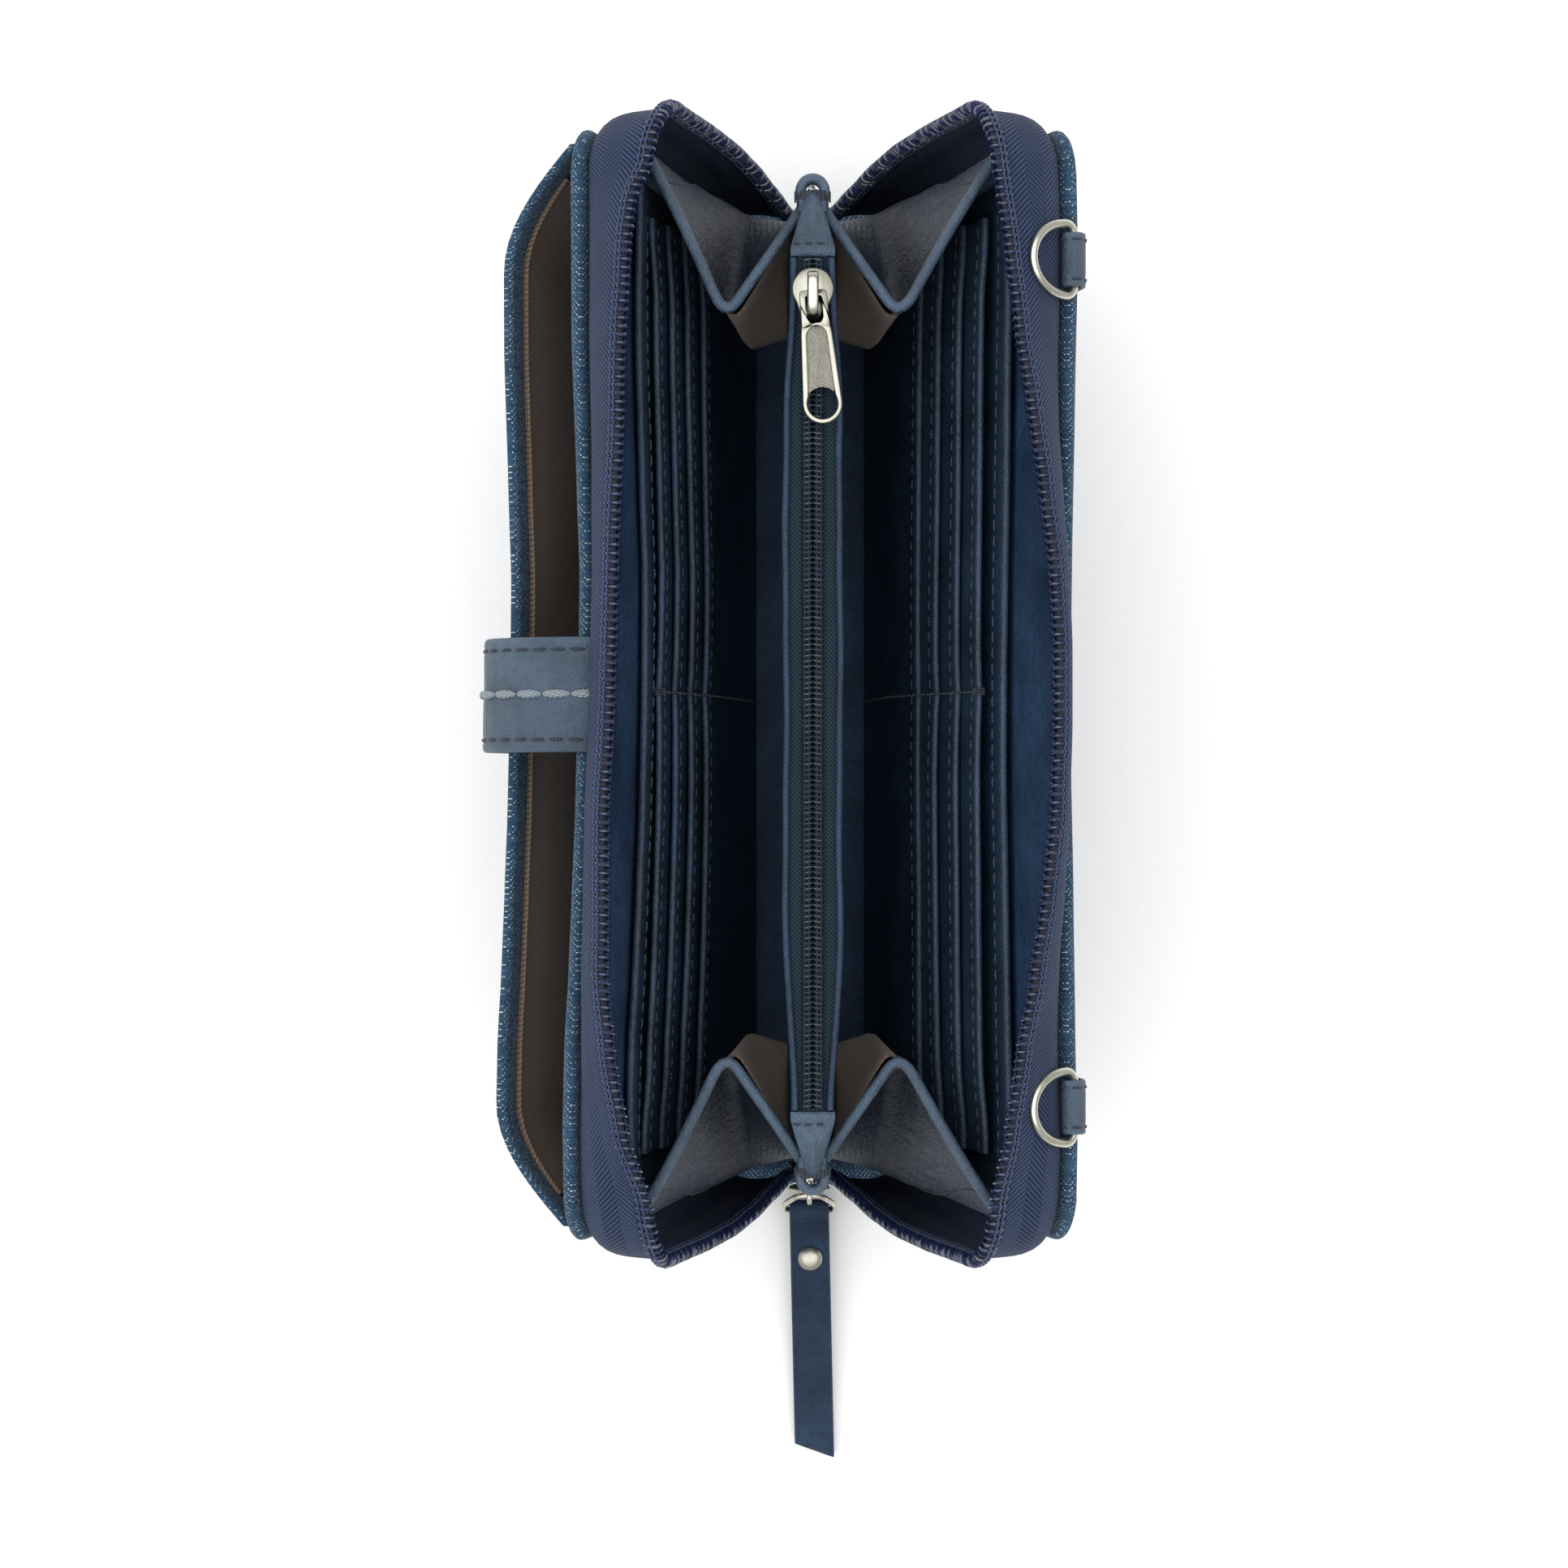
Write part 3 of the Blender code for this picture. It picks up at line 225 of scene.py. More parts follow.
def denim(name):
    """Three-step twill: indigo warp with random pale weft specks, slubs and a soft fuzz."""
    n = Nodes(name)
    along, across = n.weave_space()
    sway = n.noise(600.0, 2.0)
    column = n.math("ADD", n.math("DIVIDE", along, 0.36), n.math("MULTIPLY", sway, 0.9))
    row = n.math("ADD", n.math("DIVIDE", across, 0.30), n.math("MULTIPLY", sway, 1.3))
    index = n.math("FLOOR", column)
    ridge = n.tent(n.math("FRACT", column))
    phase = n.math("DIVIDE", n.math("ADD", row, index), 3.0)
    step = n.math("MULTIPLY", n.math("FRACT", phase), 3.0)
    over = n.tent(step, clamp=True)
    pair = n.add("ShaderNodeCombineXYZ", {0: index, 1: n.math("FLOOR", phase)}).outputs[0]
    chance = n.add("ShaderNodeTexWhiteNoise", {0: pair}, noise_dimensions="2D").outputs["Value"]
    yarn = n.add("ShaderNodeTexWhiteNoise", {1: index}, noise_dimensions="1D").outputs["Value"]
    cloud = n.noise(110.0, 5.0)
    fuzz = n.noise(3800.0, 2.0)
    crossing = n.remap(n.math("MULTIPLY", over, ridge), 0.12, 0.45)
    speck = n.math("MULTIPLY", crossing, n.remap(chance, 0.2, 0.75))
    blue = n.mix(n.math("MULTIPLY", n.math("ADD", yarn, cloud), 0.5), rgba(0.007, 0.026, 0.058),
                 rgba(0.031, 0.086, 0.160))
    blue = n.mix(n.remap(fuzz, 0.45, 0.75, 0.0, 0.6), blue, rgba(0.070, 0.125, 0.175))
    colour = n.mix(n.math("MULTIPLY", speck, 0.9), blue, rgba(0.66, 0.74, 0.76))
    twist = n.math("ADD", n.math("MULTIPLY", ridge, 0.6), n.math("MULTIPLY", speck, 0.7))
    height = n.math("ADD", twist, n.math("MULTIPLY", fuzz, 0.5))
    return n.finish(Base_Color=colour, Roughness=0.88, Normal=n.bump(height, 0.00018),
                    Specular_IOR_Level=0.15, Sheen_Weight=0.06, Sheen_Roughness=0.5)


def herringbone(name, dark, pale, stripe, pitch):
    """Zip tape woven in chevrons that run along it."""
    n = Nodes(name)
    along, across = n.weave_space()
    band = n.math("DIVIDE", across, stripe)
    odd = n.math("MODULO", n.math("FLOOR", band), 2.0)
    sign = n.math("MULTIPLY_ADD", odd, 2.0, -1.0)
    slant = n.math("MULTIPLY", sign, n.math("FRACT", band))
    phase = n.math("MULTIPLY_ADD", slant, stripe / pitch * 1.05, n.math("DIVIDE", along, pitch))
    rib = n.wave(phase)
    thread = n.math("ABSOLUTE", n.math("SINE", n.math("MULTIPLY", across, pi / 0.42)))
    fuzz = n.noise(3600.0, 2.0)
    shade = n.noise(120.0, 3.0)
    weight = n.math("MULTIPLY", n.remap(rib, 0.1, 0.95), n.remap(thread, 0.0, 0.6, 0.55, 1.0))
    weight = n.math("MULTIPLY", weight, n.remap(shade, 0.3, 0.7, 0.75, 1.0))
    # Painted shade: every other stripe is a fifth darker, as light falls differently on its slant.
    weight = n.math("MULTIPLY", weight, n.remap(odd, 0.0, 1.0, 0.8, 1.0))
    colour = n.mix(weight, dark, pale)
    height = n.math("ADD", n.math("MULTIPLY", weight, 1.4), n.math("MULTIPLY", fuzz, 0.5))
    return n.finish(Base_Color=colour, Roughness=0.74, Normal=n.bump(height, 0.00018),
                    Specular_IOR_Level=0.2, Sheen_Weight=0.05, Sheen_Roughness=0.4)


def leather(name, base, roughness=0.46, grain=1500.0, depth=1.0, stretch=(1.0, 1.0, 1.0), shine=0.32,
            fold_shade_and_sheen=False):
    """Grained leather with fine pebbles, pores, soft creases and paler rubbed edges.

    The last option paints shade into the fold at weave across 0.43 and on past it, and paints a pale sheen
    away from there.
    """
    n = Nodes(name)
    wander = n.noise(grain * 0.3, 3.0)
    place = n.object_space(stretch)
    shift = n.math("MULTIPLY", wander, 0.0012)
    warped = n.add("ShaderNodeVectorMath", {0: place, 1: shift}, operation="ADD")
    pebble = n.cells(grain, warped.outputs[0], "DISTANCE_TO_EDGE")
    pore = n.noise(grain * 3.2, 2.0)
    cloud = n.noise(70.0, 4.0)
    wrinkle = n.noise(grain * 0.42, 6.0, place, 0.66)
    dark = tone(base, 0.62)
    colour = n.mix(n.remap(cloud, 0.3, 0.72), dark, tone(base, 1.32, 0.003))
    # Painted shade: the low valleys of the creases are darkened.
    colour = n.mix(n.remap(wrinkle, 0.35, 0.5, 0.5, 0.0), colour, dark)
    point = n.add("ShaderNodeNewGeometry", {}).outputs["Pointiness"]
    colour = n.mix(n.remap(point, 0.52, 0.62, 0.0, 0.5), colour, tone(base, 2.1, 0.015))
    if fold_shade_and_sheen:
        across = n.weave_space()[1]
        near_fold = n.math("ABSOLUTE", n.math("SUBTRACT", across, 0.43))
        painted_light_share = n.math("ADD", near_fold, n.math("MULTIPLY_ADD", wrinkle, 0.3, -0.15))
        painted_light_share = n.math("MULTIPLY", n.remap(painted_light_share, 0.08, 0.4), n.remap(across, 0.46, 0.62, 1.0, 0.12))
        # Painted shade: the colour darkens into the fold and past it.
        colour = n.mix(painted_light_share, tone(base, 0.3), colour)
        # Painted sheen: the pebble tops turn pale away from the fold.
        painted_sheen = n.math("MULTIPLY", painted_light_share, n.remap(pebble, 0.02, 0.14, 0.18, 0.75))
        colour = n.mix(painted_sheen, colour, tone(base, 1.6, 0.115))
    pebbles = n.math("MULTIPLY", n.remap(pebble, 0.0, 0.2), 0.5)
    relief = n.math("ADD", pebbles, n.math("MULTIPLY", wrinkle, 5.0))
    relief = n.math("ADD", relief, n.math("MULTIPLY", pore, 0.45))
    gloss = n.remap(pore, 0.3, 0.7, roughness - 0.05, roughness + 0.09)
    return n.finish(Base_Color=colour, Roughness=gloss, Normal=n.bump(relief, 0.00012 * depth),
                    Specular_IOR_Level=shine)


def twill(name, base):
    """Fine diagonal lining cloth."""
    n = Nodes(name)
    rib = n.diagonal(1.0, 1.2)
    fuzz = n.noise(3000.0, 2.0)
    lit = n.mix(n.noise(60.0, 3.0), tone(base, 0.8), rgba(*base))
    colour = n.mix(n.remap(rib, 0.1, 0.9), tone(base, 0.3), lit)
    height = n.math("ADD", rib, n.math("MULTIPLY", fuzz, 0.4))
    return n.finish(Base_Color=colour, Roughness=0.72, Normal=n.bump(height, 0.00012),
                    Sheen_Weight=0.2, Sheen_Roughness=0.4)


def nylon(name, base, roughness=0.22):
    """Moulded zip coil: dark, glossy, and slightly cloudy."""
    n = Nodes(name)
    cloud = n.noise(900.0, 3.0)
    colour = n.mix(n.remap(cloud, 0.3, 0.7), tone(base, 0.6), rgba(*base))
    gloss = n.remap(cloud, 0.2, 0.8, roughness - 0.04, roughness + 0.12)
    return n.finish(Base_Color=colour, Roughness=gloss, Normal=n.bump(cloud, 0.00003),
                    Coat_Weight=0.4, Coat_Roughness=0.12)


def thread(name, base):
    """Twisted sewing thread."""
    n = Nodes(name)
    ply = n.diagonal(0.7, 0.9)
    lit = n.mix(n.noise(500.0, 3.0), tone(base, 0.8), rgba(*base))
    colour = n.mix(ply, tone(base, 0.42), lit)
    return n.finish(Base_Color=colour, Roughness=0.62, Normal=n.bump(ply, 0.00012),
                    Sheen_Weight=0.15, Sheen_Roughness=0.4)


def nickel(name, roughness=0.24, stipple=0.0, tint=(0.66, 0.645, 0.57)):
    """Plated zinc with fine wear, stippled where it is cast with a texture."""
    n = Nodes(name)
    scratch = n.noise(700.0, 4.0, n.object_space((1.0, 0.15, 1.0)))
    cloud = n.noise(260.0, 3.0)
    grit = n.noise(5200.0, 2.0)
    gloss = n.remap(cloud, 0.3, 0.7, roughness - 0.05, roughness + 0.10)
    colour = n.mix(n.remap(scratch, 0.35, 0.75), tone(tint, 0.82), rgba(*tint))
    cast = n.math("MULTIPLY", grit, stipple * 2.0)
    height = n.math("ADD", n.math("MULTIPLY", scratch, 0.25), cast)
    return n.finish(Base_Color=colour, Roughness=gloss, Metallic=1.0,
                    Normal=n.bump(height, 0.00004 + 0.00012 * stipple))


def fibre_board(name):
    n = Nodes(name)
    fleck = n.noise(1500.0, 5.0)
    colour = n.mix(n.remap(fleck, 0.3, 0.7), rgba(0.20, 0.19, 0.17), rgba(0.38, 0.36, 0.32))
    return n.finish(Base_Color=colour, Roughness=0.92, Normal=n.bump(fleck, 0.0001))


def floor_paper(name):
    n = Nodes(name)
    tooth = n.noise(900.0, 3.0)
    colour = n.mix(tooth, rgba(0.90, 0.90, 0.895), rgba(0.93, 0.93, 0.925))
    return n.finish(Base_Color=colour, Roughness=0.95, Specular_IOR_Level=0.1)


NAVY = (0.017, 0.034, 0.066)
M = {
    "denim": denim("denim"),
    "tape": herringbone("zip_tape", rgba(0.002, 0.004, 0.014), rgba(0.044, 0.075, 0.164), 3.2, 0.98),
    "coin_tape": herringbone("coin_tape", rgba(0.002, 0.006, 0.011), rgba(0.022, 0.050, 0.078), 2.4, 0.8),
    "leather": leather("leather_navy", NAVY),
    "card_leather": leather("leather_cards", (0.015, 0.033, 0.064), 0.36, 1500.0, 0.7, shine=0.5),
    "strap_leather": leather("leather_strap", (0.050, 0.080, 0.120), 0.42, 1300.0, 1.2, shine=0.42),
    "pull_leather": leather("leather_pull", (0.018, 0.036, 0.068), 0.52, 1400.0, 1.0, shine=0.16),
    "gusset_leather": leather("leather_gusset", (0.015, 0.027, 0.052), 0.4, 1000.0, 1.4,
                              (0.55, 0.8, 1.0), 0.1, fold_shade_and_sheen=True),
    "lining_leather": leather("leather_lining", (0.021, 0.047, 0.102), 0.5, 1000.0, 0.9, shine=0.25),
    "twill": twill("lining_twill", (0.150, 0.092, 0.056)),
    "piping": twill("lining_piping", (0.22, 0.155, 0.105)),
    "coil": nylon("zip_coil", (0.012, 0.021, 0.072), 0.24),
    "coin_coil": nylon("coin_coil", (0.011, 0.022, 0.036), 0.34),
    "coil_core": thread("coil_core", (0.012, 0.018, 0.042)),
    "coil_thread": thread("coil_thread", (0.036, 0.062, 0.150)),
    "seam_thread": thread("seam_thread", (0.040, 0.062, 0.095)),
    "card_thread": thread("card_thread", (0.036, 0.060, 0.100)),
    "dark_thread": thread("dark_thread", (0.014, 0.024, 0.044)),
    "strap_thread": thread("strap_thread", (0.30, 0.35, 0.39)),
    "nickel": nickel("nickel", 0.34, tint=(0.47, 0.46, 0.39)),
    "bright_nickel": nickel("nickel_bright", 0.26, tint=(0.60, 0.59, 0.50)),
    "stipple_nickel": nickel("nickel_stipple", 0.48, 1.0, (0.46, 0.45, 0.39)),
    "board": fibre_board("fibre_board"),
}


# ---------------------------------------------------------------- mesh tools


def frames(path, hint=None, closed=False):
    """(point, sideways, upward) along a path, carried along it without twisting."""
    result = []
    up = hint
    count = len(path)
    for i, point in enumerate(path):
        before = path[i - 1] if i > 0 or closed else point
        after = path[(i + 1) % count] if i < count - 1 or closed else point
        ahead = (after - before).normalized()
        if up is None:
            up = Vector((0.0, 0.0, 1.0)) if abs(ahead.z) < 0.9 else Vector((1.0, 0.0, 0.0))
        up = (up - ahead * up.dot(ahead)).normalized()
        result.append((point, ahead.cross(up), up))
    return result


class Track:
    """A polyline that gives points by distance along it."""

    def __init__(self, points, closed=False):
        self.points = [Vector(p) for p in points]
        if closed:
            self.points.append(self.points[0].copy())
        self.marks = [0.0]
        for a, b in zip(self.points, self.points[1:]):
            self.marks.append(self.marks[-1] + (b - a).length)
        self.length = self.marks[-1]
        self.last = 0

    def span(self, distance):
        distance = min(max(distance, 0.0), self.length)
        if distance < self.marks[self.last]:
            self.last = 0
        while self.last < len(self.marks) - 2 and self.marks[self.last + 1] < distance:
            self.last += 1
        i = self.last
        size = self.marks[i + 1] - self.marks[i]
        return i, (distance - self.marks[i]) / size if size else 0.0

    def at(self, distance, values=None):
        values = values or self.points
        i, t = self.span(distance)
        return values[i].lerp(values[i + 1], t)

    def even(self, step):
        count = max(2, ceil(self.length / step) + 1)
        return [self.at(self.length * i / (count - 1)) for i in range(count)]


class Shape:
    """Collects lofted skins into one mesh, in millimetres."""

    def __init__(self):
        self.points, self.faces, self.weave = [], [], []

    def loft(self, loops, wrap=True, caps=True, ring=False, weave=None):
        """Skins loops of equal length. wrap closes each loop, and ring joins the last loop to the first."""
        base, count = len(self.points), len(loops[0])
        along = 0.0
        for i, loop in enumerate(loops):
            along += (loop[0] - loops[i - 1][0]).length if i else 0.0
            across = 0.0
            for k, point in enumerate(loop):
                across += (point - loop[k - 1]).length if k else 0.0
                self.points.append(point)
                self.weave.append(weave(i, k) if weave else (along, across))
        spans = count if wrap else count - 1
        for i in range(len(loops) if ring else len(loops) - 1):
            a, b = base + i * count, base + (i + 1) % len(loops) * count
            for k in range(spans):
                n = (k + 1) % count
                self.faces.append((a + k, a + n, b + n, b + k))
        if caps and wrap and not ring:
            last = base + (len(loops) - 1) * count
            self.faces.append(tuple(range(base, base + count))[::-1])
            self.faces.append(tuple(range(last, last + count)))
        return self

    def tube(self, path, radius, sides=8, closed=False, hint=None, flat=1.0):
        loops = []
        for i, (point, side, up) in enumerate(frames(path, hint, closed)):
            r = radius(i / (len(path) - 1)) if callable(radius) else radius
            loop = []
            for k in range(sides):
                angle = 2 * pi * k / sides
                loop.append(point + side * (r * cos(angle)) + up * (r * flat * sin(angle)))
            loops.append(loop)
        return self.loft(loops, ring=closed)

    def stitches(self, path, out, pitch=3.3, gap=0.8, radius=0.24, start=0.4):
        """A seam's row of stitches. out is the outward direction, one or one for each point."""
        track = Track(path)
        outs = out if isinstance(out, list) else [out] * len(track.points)
        profile = [(0.0, -0.5, 0.5), (0.18, 0.35, 1.0), (0.5, 0.55, 1.1), (0.82, 0.35, 1.0), (1.0, -0.5, 0.5)]
        place = start
        while place + pitch - gap <= track.length:
            size = (pitch - gap) * RANDOM.uniform(0.92, 1.0)
            sway = RANDOM.uniform(-0.12, 0.12) * radius
            spine, radii = [], []
            for t, rise, width in profile:
                point = track.at(place + size * t)
                normal = track.at(place + size * t, outs)
                sideways = normal.cross(track.at(place + size) - track.at(place)).normalized()
                spine.append(point + normal * (rise * radius) + sideways * sway * (2 * t - 1))
                radii.append(radius * width)
            self.tube(spine, lambda f, r=radii: r[round(f * (len(r) - 1))], 6, hint=outs[0])
            place += pitch
        return self

    def turned(self, profile, place, axis, sides=32):
        """A profile of (radius, height) turned about an axis through a place."""
        axis = axis.normalized()
        first = axis.orthogonal().normalized()
        second = axis.cross(first)
        loops = []
        for r, h in profile:
            loop = []
            for k in range(sides):
                angle = 2 * pi * k / sides
                loop.append(place + axis * h + (first * cos(angle) + second * sin(angle)) * max(r, 0.01))
            loops.append(loop)
        return self.loft(loops)


def settle(obj, body, slot, hides=(), bend=None):
    """Hides the CAD nodes a finished piece replaces and ties it to its body, or with a bend only bakes its
    transform.
    """
    if hides:
        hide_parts(*hides)
    if bend:
        a, b, start, end = bend
        tuple(c * MM for c in start)
        tuple(c * MM for c in end)
        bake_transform(obj)
    else:
        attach(obj, body)
    return obj


def apply_modifiers(obj):
    bpy.context.view_layer.update()
    graph = bpy.context.evaluated_depsgraph_get()
    mesh = bpy.data.meshes.new_from_object(obj.evaluated_get(graph))
    old = obj.data
    obj.modifiers.clear()
    obj.data = mesh
    bpy.data.meshes.remove(old)


def place(shape, name, look, slot, body, hides=(), bend=None, bevel=0.0, crease=55.0):
    """Makes a Shape a piece of the object. bevel rounds its hard edges, in millimetres."""
    mesh = bpy.data.meshes.new(name)
    mesh.from_pydata([tuple(p * MM) for p in shape.points], [], shape.faces)
    attribute = mesh.attributes.new("weave", "FLOAT_VECTOR", "POINT")
    attribute.data.foreach_set("vector", [c for s, t in shape.weave for c in (s, t, 0.0)])
    bm = bmesh.new()
    bm.from_mesh(mesh)
    bmesh.ops.recalc_face_normals(bm, faces=bm.faces)
    bm.to_mesh(mesh)
    bm.free()
    mesh.shade_smooth()
    mesh.materials.append(M[look])
    obj = bpy.data.objects.new(name, mesh)
    bpy.context.scene.collection.objects.link(obj)
    if bevel:
        edge = obj.modifiers.new("edge", "BEVEL")
        edge.width = bevel * MM
        edge.segments = 3
        edge.limit_method = "ANGLE"
        edge.angle_limit = radians(45)
        apply_modifiers(obj)
        obj.data.shade_smooth()
    obj.data.set_sharp_from_angle(angle=radians(crease))
    return settle(obj, body, slot, hides, bend)


def normals(line, turn=1):
    """Unit normals of a line in a plane: to the left of its way, or to the right with turn -1."""
    result = []
    for i in range(len(line)):
        before, after = line[max(0, i - 1)], line[min(len(line) - 1, i + 1)]
        size = hypot(after[0] - before[0], after[1] - before[1])
        result.append((-(after[1] - before[1]) / size * turn, (after[0] - before[0]) / size * turn))
    return result


def edged(edge, reach, count):
    """(across, share of the thickness) of a strip: an edge, a flat middle, and the edge mirrored."""
    middle = [(f, 1.0) for f in spread(-reach, reach, count)]
    return edge + middle + [(-f, t) for f, t in edge[::-1]]


def oval(count, wide, tall, wide_power, tall_power):
    """Points round an oval of half sizes wide and tall. Powers below 1 square it off."""
    points = []
    for k in range(count):
        angle = 2 * pi * k / count
        c, s = cos(angle), sin(angle)
        points.append((wide * (abs(c) ** wide_power) * (1 if c > 0 else -1),
                       tall * (abs(s) ** tall_power) * (1 if s > 0 else -1)))
    return points


def ribbon(line, thicknesses, cap_steps=3):
    """Closed outline of a strip about a line in a plane, with rounded ends."""
    left, right = [], []
    for point, (nx, nz), thickness in zip(line, normals(line), thicknesses):
        half = thickness / 2
        left.append((point[0] + nx * half, point[1] + nz * half))
        right.append((point[0] - nx * half, point[1] - nz * half))

    def cap(a, b, toward):
        cx, cz = (a[0] + b[0]) / 2, (a[1] + b[1]) / 2
        ax, az = a[0] - cx, a[1] - cz
        r = hypot(ax, az)
        tx, tz = cx - toward[0], cz - toward[1]
        size = hypot(tx, tz)
        tx, tz = tx / size * r, tz / size * r
        points = []
        for k in range(1, cap_steps + 1):
            angle = pi * k / (cap_steps + 1)
            points.append((cx + ax * cos(angle) + tx * sin(angle), cz + az * cos(angle) + tz * sin(angle)))
        return points

    start = cap(right[0], left[0], line[1])
    end = cap(left[-1], right[-1], line[-2])
    return left + end + right[::-1] + start


def arc(centre, radius, start, end, steps):
    points = []
    for i in range(steps + 1):
        angle = radians(start + (end - start) * i / steps)
        points.append((centre[0] + radius * cos(angle), centre[1] + radius * sin(angle)))
    return points


def spread(low, high, count):
    return [blend(low, high, i / (count - 1)) for i in range(count)]


# ---------------------------------------------------------------- the two halves


# The tape's flare up its end runs by level, its flare along the rim by length y, and how far the
# rim bows outward by length y.
END_FLARES = [(0.13, 2.0), (0.3, 9.0), (0.42, 18.0), (0.56, 25.0), (0.75, 27.0), (0.9, 26.0), (1.0, 25.5)]
FLARES = {
    "left": [(-97, 25.5), (-92, 30), (-79, 50), (-65, 61.5), (-51, 70), (-22, 74), (-8, 72), (20, 70),
             (48, 62), (77, 55), (85, 50), (91, 37), (97, 25.5)],
    "right": [(-97, 25.5), (-92, 29.5), (-79, 41.5), (-65, 52), (-51, 63), (-37, 72.5), (-22, 80), (-8, 82.5),
              (6, 82.5), (20, 78.5), (34, 70), (48, 60.5), (62, 50), (77, 41), (90, 33), (97, 25.5)],
}
BOWS = {
    "left": [(-99, 1.2), (-79, 1.5), (-65, 1.2), (-51, 0.4), (-37, -0.2), (-22, -0.8), (0, -1.3), (20, -1.5),
             (34, -1.0), (62, -0.1), (99, 0.0)],
    "right": [(-99, 0.3), (-79, 0.6), (-65, 0.2), (-37, -0.2), (-15, -0.6), (5, -0.6), (20, -0.4), (48, 0.1),
              (76, 0.6), (99, 0.2)],
}


def along(table, y):
    """The value at y in a table of (y, value), eased between its rows."""
    if y <= table[0][0]:
        return table[0][1]
    for low, high in zip(table, table[1:]):
        if y <= high[0]:
            t = (y - low[0]) / (high[0] - low[0])
            return blend(low[1], high[1], blend(t, smooth(t), 0.35))
    return table[-1][1]


class Half:
    """One cover half: points by depth inward u, length y and height w, as they stand at rest."""

    def __init__(self, name, side):
        self.name, self.side, self.body = name, side, name + "_half"
        hinge = JOINTS[name + "_half_fold"]["pos_m"]
        self.hinge_x, self.hinge_z = abs(hinge[0]) / MM, hinge[2] / MM
        low, high = box_mm(name + "_denim_cover")
        self.length = high[1]
        reach = max(abs(low[0]), abs(high[0]))
        self.tilt = asin((reach - self.hinge_x) / WALL_HEIGHT)

    def at(self, u, y, w):
        x = self.hinge_x - u * cos(self.tilt) + w * sin(self.tilt)
        x += along(BOWS[self.name], y) * smooth(w / WALL_HEIGHT)
        z = self.hinge_z + u * sin(self.tilt) + w * cos(self.tilt)
        return Vector((self.side * x, y, z))

    def unbowed(self, u, y, w):
        """A point as if the wall were flat, for hardware that turns on a joint's axis."""
        point = self.at(u, y, w)
        point.x -= self.side * along(BOWS[self.name], y) * smooth(w / WALL_HEIGHT)
        return point

    def way(self, u, y, w):
        """A direction: inward, along and up the wall."""
        x = -u * cos(self.tilt) + w * sin(self.tilt)
        return Vector((self.side * x, y, u * sin(self.tilt) + w * cos(self.tilt)))


LEFT, RIGHT = Half("left", -1), Half("right", 1)
HALF_LENGTH = LEFT.length
# Divider line, slot depths at the rim, lean of the slots, and the foot of the last one.
CARDS = {
    "left": ([(4.5, 1.8), (9.2, 92.5)], [10.3, 10.9, 11.5, 12.1], 0.0525,
             [(11.0, 40.0), (8.6, 1.8)]),
    "right": ([(4.5, 1.8), (8.9, 45.0), (8.9, 92.5)], [11.6, 12.7, 13.8, 14.9], 0.0,
              [(14.9, 44.0), (8.6, 1.8)]),
}


def outline(inset):
    """The cover's rounded outline, inset, as (y, w, outward y, outward w)."""
    y1 = HALF_LENGTH - inset
    low, high = WALL_FOOT + inset, WALL_HEIGHT - inset
    r0, r1 = max(0.3, 1.6 - inset), max(0.4, CORNER_RADIUS - inset)
    points = []
    for k in range(29):
        points.append((blend(-y1 + r0, y1 - r0, k / 28), low, 0.0, -1.0))
    corners = [(y1 - r0, low + r0, r0, 270, 360), (y1 - r1, high - r1, r1, 0, 90),
               (-y1 + r1, high - r1, r1, 90, 180), (-y1 + r0, low + r0, r0, 180, 270)]
    for i, (cy, cw, r, start, end) in enumerate(corners):
        steps = 9 if r == r1 else 3
        for k in range(1, steps):
            angle = radians(blend(start, end, k / steps))
            points.append((cy + r * cos(angle), cw + r * sin(angle), cos(angle), sin(angle)))
        if i == 0:
            points += [(y1, blend(low + r0, high - r1, k / 14), 1.0, 0.0) for k in range(15)]
        if i == 1:
            points += [(blend(y1 - r1, -y1 + r1, k / 56), high, 0.0, 1.0) for k in range(57)]
        if i == 2:
            points += [(-y1, blend(high - r1, low + r0, k / 14), -1.0, 0.0) for k in range(15)]
    return points


def wall_skin(half, profile, ripple=0.0):
    """A slab whose edge follows a profile of (inset, depth) from the outer face to the inner."""
    shape = Shape()
    loops, weave = [], []
    for inset, u in profile:
        loop, marks = [], []
        for y, w, ny, nw in outline(inset):
            puff = ripple * sin(y * 1.9) * cos(w * 1.9) if 0.1 < inset < 9 else 0.0
            loop.append(half.at(u + puff, y, w))
            marks.append((y + ny * u, w + nw * u))
        loops.append(loop)
        weave.append(marks)
    shape.loft(loops, weave=lambda i, k: weave[i][k])
    return shape


def build_cover(half):
    """Denim folded over the board with a rolled rim, and the leather facing inside it."""
    rolled = [(16.0, 0.0), (8.0, 0.0), (4.9, -0.02), (4.2, 0.03), (3.8, 0.22), (3.4, 0.0), (2.7, -0.32),
              (1.9, -0.48), (1.2, -0.42), (0.55, -0.12), (0.15, 0.3), (0.0, 0.8), (0.1, 1.3), (0.45, 1.75),
              (1.0, 2.02), (1.6, 2.12), (2.3, 2.36), (3.4, 2.42), (6.0, 2.42)]
    name = half.name
    shape = wall_skin(half, rolled, 0.05)
    place(shape, name + "_cover_denim", "denim", "denim", half.body, [name + "_denim_cover"])
    board = [(4.8, 0.9), (4.4, 1.1), (4.4, 2.0), (4.8, 2.2)]
    place(wall_skin(half, board), name + "_board_slab", "board", "board", half.body, [name + "_board"])
    facing = [(3.4, 2.5), (3.4, 3.2), (3.7, 3.42), (8.0, 3.42), (16.0, 3.42)]
    shape = wall_skin(half, facing)
    place(shape, name + "_facing", "lining_leather", "leather", half.body, [name + "_lining"])
    path = [half.at(0.04, y, w) for y, w, _, _ in outline(3.8)][29:]
    seam = Shape().stitches(path, half.way(-1.0, 0.0, 0.0), *RIM_STITCH)
    place(seam, name + "_rim_seam", "dark_thread", "denim", half.body)


